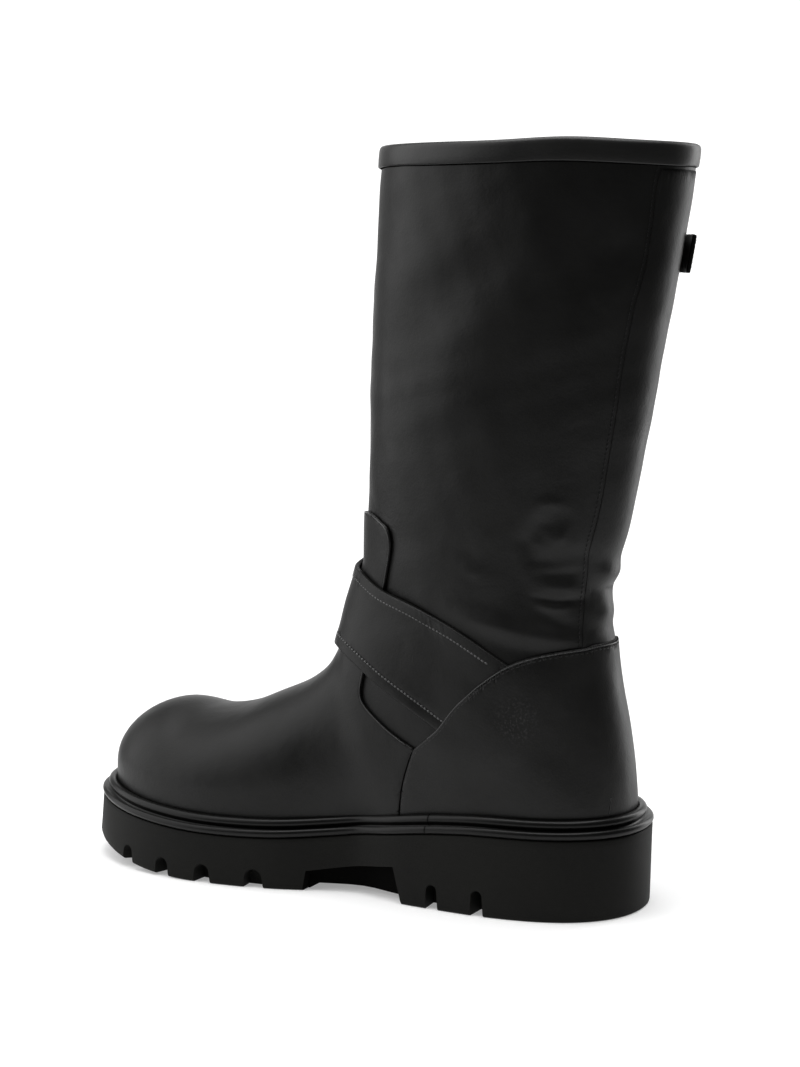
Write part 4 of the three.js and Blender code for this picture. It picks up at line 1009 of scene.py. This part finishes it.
def tread_cut(x, y, turn, width, depth, length, rounded):
    """A notch or channel in the tread: a rounded or flat top, swept along its length."""
    half = width / 2
    foot = half * (1.25 if rounded else 1)
    top = [(half, depth), (-half, depth)]
    if rounded:
        top = [(half * math.cos(t), depth - half + half * math.sin(t)) for t in np.linspace(0, math.pi, 13)]
    outline = [(-foot, -3), (foot, -3)] + top
    c, s, base = math.cos(math.radians(turn)), math.sin(math.radians(turn)), float(tread(x))
    points = [(x + u * c - v * s, y + u * s + v * c, base + w) for v in (-length / 2, length / 2) for u, w in outline]
    n = len(outline)
    caps = [tuple(range(n - 1, -1, -1)), tuple(range(n, 2 * n))]
    return points, caps + [(i, (i + 1) % n, n + (i + 1) % n, n + i) for i in range(n)]


def side_line(reach, way):
    """One side of the sole's plan at a reach, from the heel to the toe."""
    line = (PLAN + OUT * reach)[(PLAN + OUT * reach)[:, 1] * way > 0]
    return line[np.argsort(line[:, 0])].T


def arch_recess(way):
    """The room beside the waist, from the sole's side to the wall under the arch."""
    x = np.unique(np.concatenate([ARCH_FEET, ARCH_TOPS, np.linspace(*ARCH_FEET, 9)]))
    wall = np.interp(x, *side_line(REACH - ARCH_DEPTH, way))
    top = np.interp(x, [ARCH_FEET[0], *ARCH_TOPS, ARCH_FEET[1]], [-1, *ARCH_HEIGHTS, -1])
    top[[0, -1]] = -0.9
    n = len(x)
    points = [p for y in (wall, np.full(n, 90.0 * way)) for z in (np.full(n, -1.0), top) for p in zip(x, y, z)]
    faces = [(low + i, low + i + 1, high + i + 1, high + i) for i in range(n - 1)
             for low, high in ((0, n), (n, 3 * n), (3 * n, 2 * n), (2 * n, 0))]
    return points, faces + [(0, n, 3 * n, 2 * n), (n - 1, 3 * n - 1, 4 * n - 1, 2 * n - 1)]


def all_cuts():
    cuts = [tread_cut(float(along(x)), side * y * BALL, side * turn, width * NOTCH, depth * NOTCH, CUT_LENGTH, True)
            for x, y, turn, width, depth in NOTCHES for side in (1, -1)]
    cuts += [tread_cut(float(along(share)), 0, 0, CHANNEL, CHANNEL, CUT_LENGTH, False)
             for share in (0.072, 0.256, 0.680, 0.776, 0.868)]
    for start, end, y in ((0.060, 0.350, 0.17), (0.557, 0.888, 0.19)):
        ends = [float(along(start + (end - start) * k / 4)) for k in range(5)]
        cuts += [tread_cut((a + b) / 2, side * y * BALL, 90, CHANNEL, CHANNEL + 0.01 * (i + 1), b - a + 1, False)
                 for side in (1, -1) for i, (a, b) in enumerate(zip(ends, ends[1:]))]
    cuts += [arch_recess(1), arch_recess(-1)]
    back, front = ARCH_FEET[0] + 1, ARCH_FEET[1] - 1
    gap = [(x, y, z) for z in (-1, ARCH_LIFT) for x, y in ((back, -50), (front, -50), (front, 50), (back, 50))]
    return cuts + [(gap, [(3, 2, 1, 0), (4, 5, 6, 7), (0, 1, 5, 4), (1, 2, 6, 5), (2, 3, 7, 6), (3, 0, 4, 7)])]


def fix_normals(obj):
    bm = bmesh.new()
    bm.from_mesh(obj.data)
    bmesh.ops.recalc_face_normals(bm, faces=bm.faces)
    bm.to_mesh(obj.data)
    bm.free()


def cut_outsole(obj):
    fix_normals(obj)
    for k, (points, faces) in enumerate(all_cuts()):
        cutter = mesh_object(f"cut_{k}", points, faces, False)
        fix_normals(cutter)
        cut = obj.modifiers.new(f"cut_{k}", "BOOLEAN")
        cut.operation = "DIFFERENCE"
        cut.solver = "EXACT"
        cut.object = cutter
        made = bpy.data.meshes.new_from_object(obj.evaluated_get(bpy.context.evaluated_depsgraph_get()))
        obj.modifiers.clear()
        obj.data = made
        bpy.data.objects.remove(cutter)
    bevel = obj.modifiers.new("bevel", "BEVEL")
    bevel.width, bevel.segments = 0.0007, 2
    bevel.limit_method, bevel.angle_limit = "ANGLE", math.radians(50)
    bevel.harden_normals = True
    obj.data.polygons.foreach_set("use_smooth", [True] * len(obj.data.polygons))


cut_outsole(outsole)
finish_piece(outsole, ["outsole"], RUBBER)
# The walls of the recess under the arch get the near-black material: painted shade in the recess.
outsole.data.materials.append(SHADE_AND_JOINT_BLACK)
for part in outsole.data.polygons:
    x, y, z = part.center * 1000
    if (ARCH_FEET[0] - 0.003 * LAST < x < ARCH_FEET[1] + 0.003 * LAST and z < ARCH_HEIGHTS[0] + 0.2
            and abs(y) < abs(np.interp(x, *side_line(REACH, y))) - 1.2):
        part.material_index = 1


# Stitches, and painted edges whose lighter grey is a painted highlight
stitches("stitches", THREAD, [
    *((line, lambda p: strap_high(p) - 0.05, 2.0, 1.75, 0.45, 0.5)
      for line in near_line(strap_edge, STRAP_BAND, lambda p: (p[:, 0] > 12) | (p[:, 1] < 0))),
    *((line, lambda p: top_low(p) + STRAP_LEATHER - 0.1, 2.3, 1.7, 0.32, 0.3)
      for line in near_line(top_edge, TOP_BAND, lambda p: p[:, 2] > 0))])
stitches("fine_stitches", FINE_THREAD, [
    *((line, lambda p: strap_end_rise(p) - 0.06, 2.5, 1.9, 0.2, 1.0)
      for line in near_line(counter_edge, 1.7, lambda p: p[:, 2] > 60)),
    *((inward_steps(line, 1.9, closed=False, sign=sign), 0.36, 2.3, 1.5, 0.17, 1.0)
      for line, sign in ((seam_in, strip_sign), (seam_out, -strip_sign)))])


def rims(name, edge, lift, radius, keep):
    """A thin painted edge along a piece's border, lighter than the leather as a painted highlight along the edge."""
    for k, line in enumerate(near_line(edge, radius, keep)):
        line = resample(line, 1.2, False)
        rim = tube(f"{name}_{k}", line, lift(on_disc(line)), radius, sides=8, folds=1.0)
        finish_piece(rim, [], EDGE_PAINT_AND_HIGHLIGHT)


rims("vamp_edge", vamp_edge, lambda p: GAP + LAYER - 0.2 + 0 * p[:, 0], 0.34, lambda p: p[:, 2] > 74)
rims("counter_edge", counter_edge, lambda p: strap_end_rise(p) - 0.2, 0.26, lambda p: p[:, 2] > 78)

dart = tube("heel_dart", locate(curve([(-35.6, 54), (-35.4, 49), (-34.6, 43)], 2.0), 1), GAP + LAYER - 0.1, 0.32,
            folds=1.0)
finish_piece(dart, [], FINE_THREAD)

for material, names in (
        (LEATHER, "upper vamp counter instep_strap buckle_anchor strap_keeper top_strap collar_binding"),
        (METAL, "buckle_frame buckle_prong top_buckle_frame top_buckle_prong"),
        (RUBBER, "outsole"), (GLOSS, "welt"), (LINING, "insole")):
    for name in names.split():
        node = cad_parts[name]
        node.data.materials.clear()
        node.data.materials.append(material)


# Floor, light and camera
VIEW = math.radians(27)
look = Vector((math.sin(VIEW), -math.cos(VIEW), 0))
side_dir = Vector((-math.cos(VIEW), -math.sin(VIEW), 0))


def stage(data, place=(0, 0, 0), turn=None):
    obj = bpy.data.objects.new(data.name, data)
    obj.location = place
    if turn is not None:
        obj.rotation_euler = turn.to_track_quat("-Z", "Y").to_euler()
    bpy.context.scene.collection.objects.link(obj)
    return obj


def paper_material():
    """White paper that fades out far from the boot."""
    paper = bpy.data.materials.new("floor_paper")
    graph = Graph(paper)
    far = graph.add("VectorMath", {0: graph.object_place()}, "Value", operation="LENGTH")
    graph.put(graph.nodes["Principled BSDF"], {
        "Base Color": (0.74, 0.74, 0.74, 1), "Emission Color": (1, 1, 1, 1), "Emission Strength": 0.3,
        "Roughness": 0.9, "Specular IOR Level": 0.1,
        "Alpha": graph.ramp(far, 0.28, 0.6, 1.0, 0.0, interpolation_type="SMOOTHSTEP")})
    return paper


def floor_disc(radius=3.3, corners=64):
    turns = np.linspace(0, 2 * math.pi, corners, endpoint=False)
    ring = [(radius * math.cos(t), radius * math.sin(t), 0) for t in turns]
    mesh = bpy.data.meshes.new("floor")
    mesh.from_pydata(ring, [], [tuple(range(corners))])
    mesh.materials.append(paper_material())
    stage(mesh)


def area_light(name, place, size, power):
    data = bpy.data.lights.new(name, "AREA")
    data.shape = "RECTANGLE"
    data.size, data.size_y = size
    data.energy = power
    stage(data, place, middle - place)


def studio_world():
    """A white backdrop behind the boot that falls off to a dimmer room."""
    world = bpy.data.worlds.new("studio")
    bpy.context.scene.world = world
    graph = Graph(world)
    direction = graph.add("TexCoord", {}, "Generated")
    toward = graph.add("VectorMath", {0: direction, 1: look}, "Value", operation="DOT_PRODUCT")
    bright = graph.ramp(toward, WORLD_FROM, WORLD_FULL, WORLD_DIM, WORLD_WHITE, interpolation_type="SMOOTHSTEP")
    graph.put(graph.nodes["Background"], {"Color": (1, 1, 1, 1), "Strength": bright})


WORLD_FROM, WORLD_FULL, WORLD_DIM, WORLD_WHITE = 0.76, 0.965, 0.14, 1.3
middle = Vector((0.06, 0, 0.18))
floor_disc()
studio_world()
area_light("key", middle + look * 0.05 - side_dir * 1.6 + Vector((0, 0, 0.7)), (2.3, 2.4), 32)
area_light("top", middle + Vector((0, 0, 1.9)), (1.8, 1.8), 50)
area_light("back_edge", middle + look * 0.85 + side_dir * 1.15 + Vector((0, 0, 0.3)), (0.5, 1.8), 11)
bpy.context.scene.view_settings.view_transform = "Standard"

# The photo's camera: its height and focal length in pixels, the row of the horizon, and its place
PHOTO_HEIGHT, FOCAL, HORIZON, DISTANCE = 1067, 2222, 260.4, 1.1
camera_data = bpy.data.cameras.new("camera")
camera_data.sensor_fit, camera_data.sensor_height = "VERTICAL", 36
camera_data.lens = FOCAL / PHOTO_HEIGHT * 36
camera_data.shift_y = (HORIZON - PHOTO_HEIGHT / 2) / PHOTO_HEIGHT
bpy.context.scene.camera = stage(camera_data, Vector((0.097, 0, 0.302)) - look * DISTANCE + side_dir * 0.0148, look)
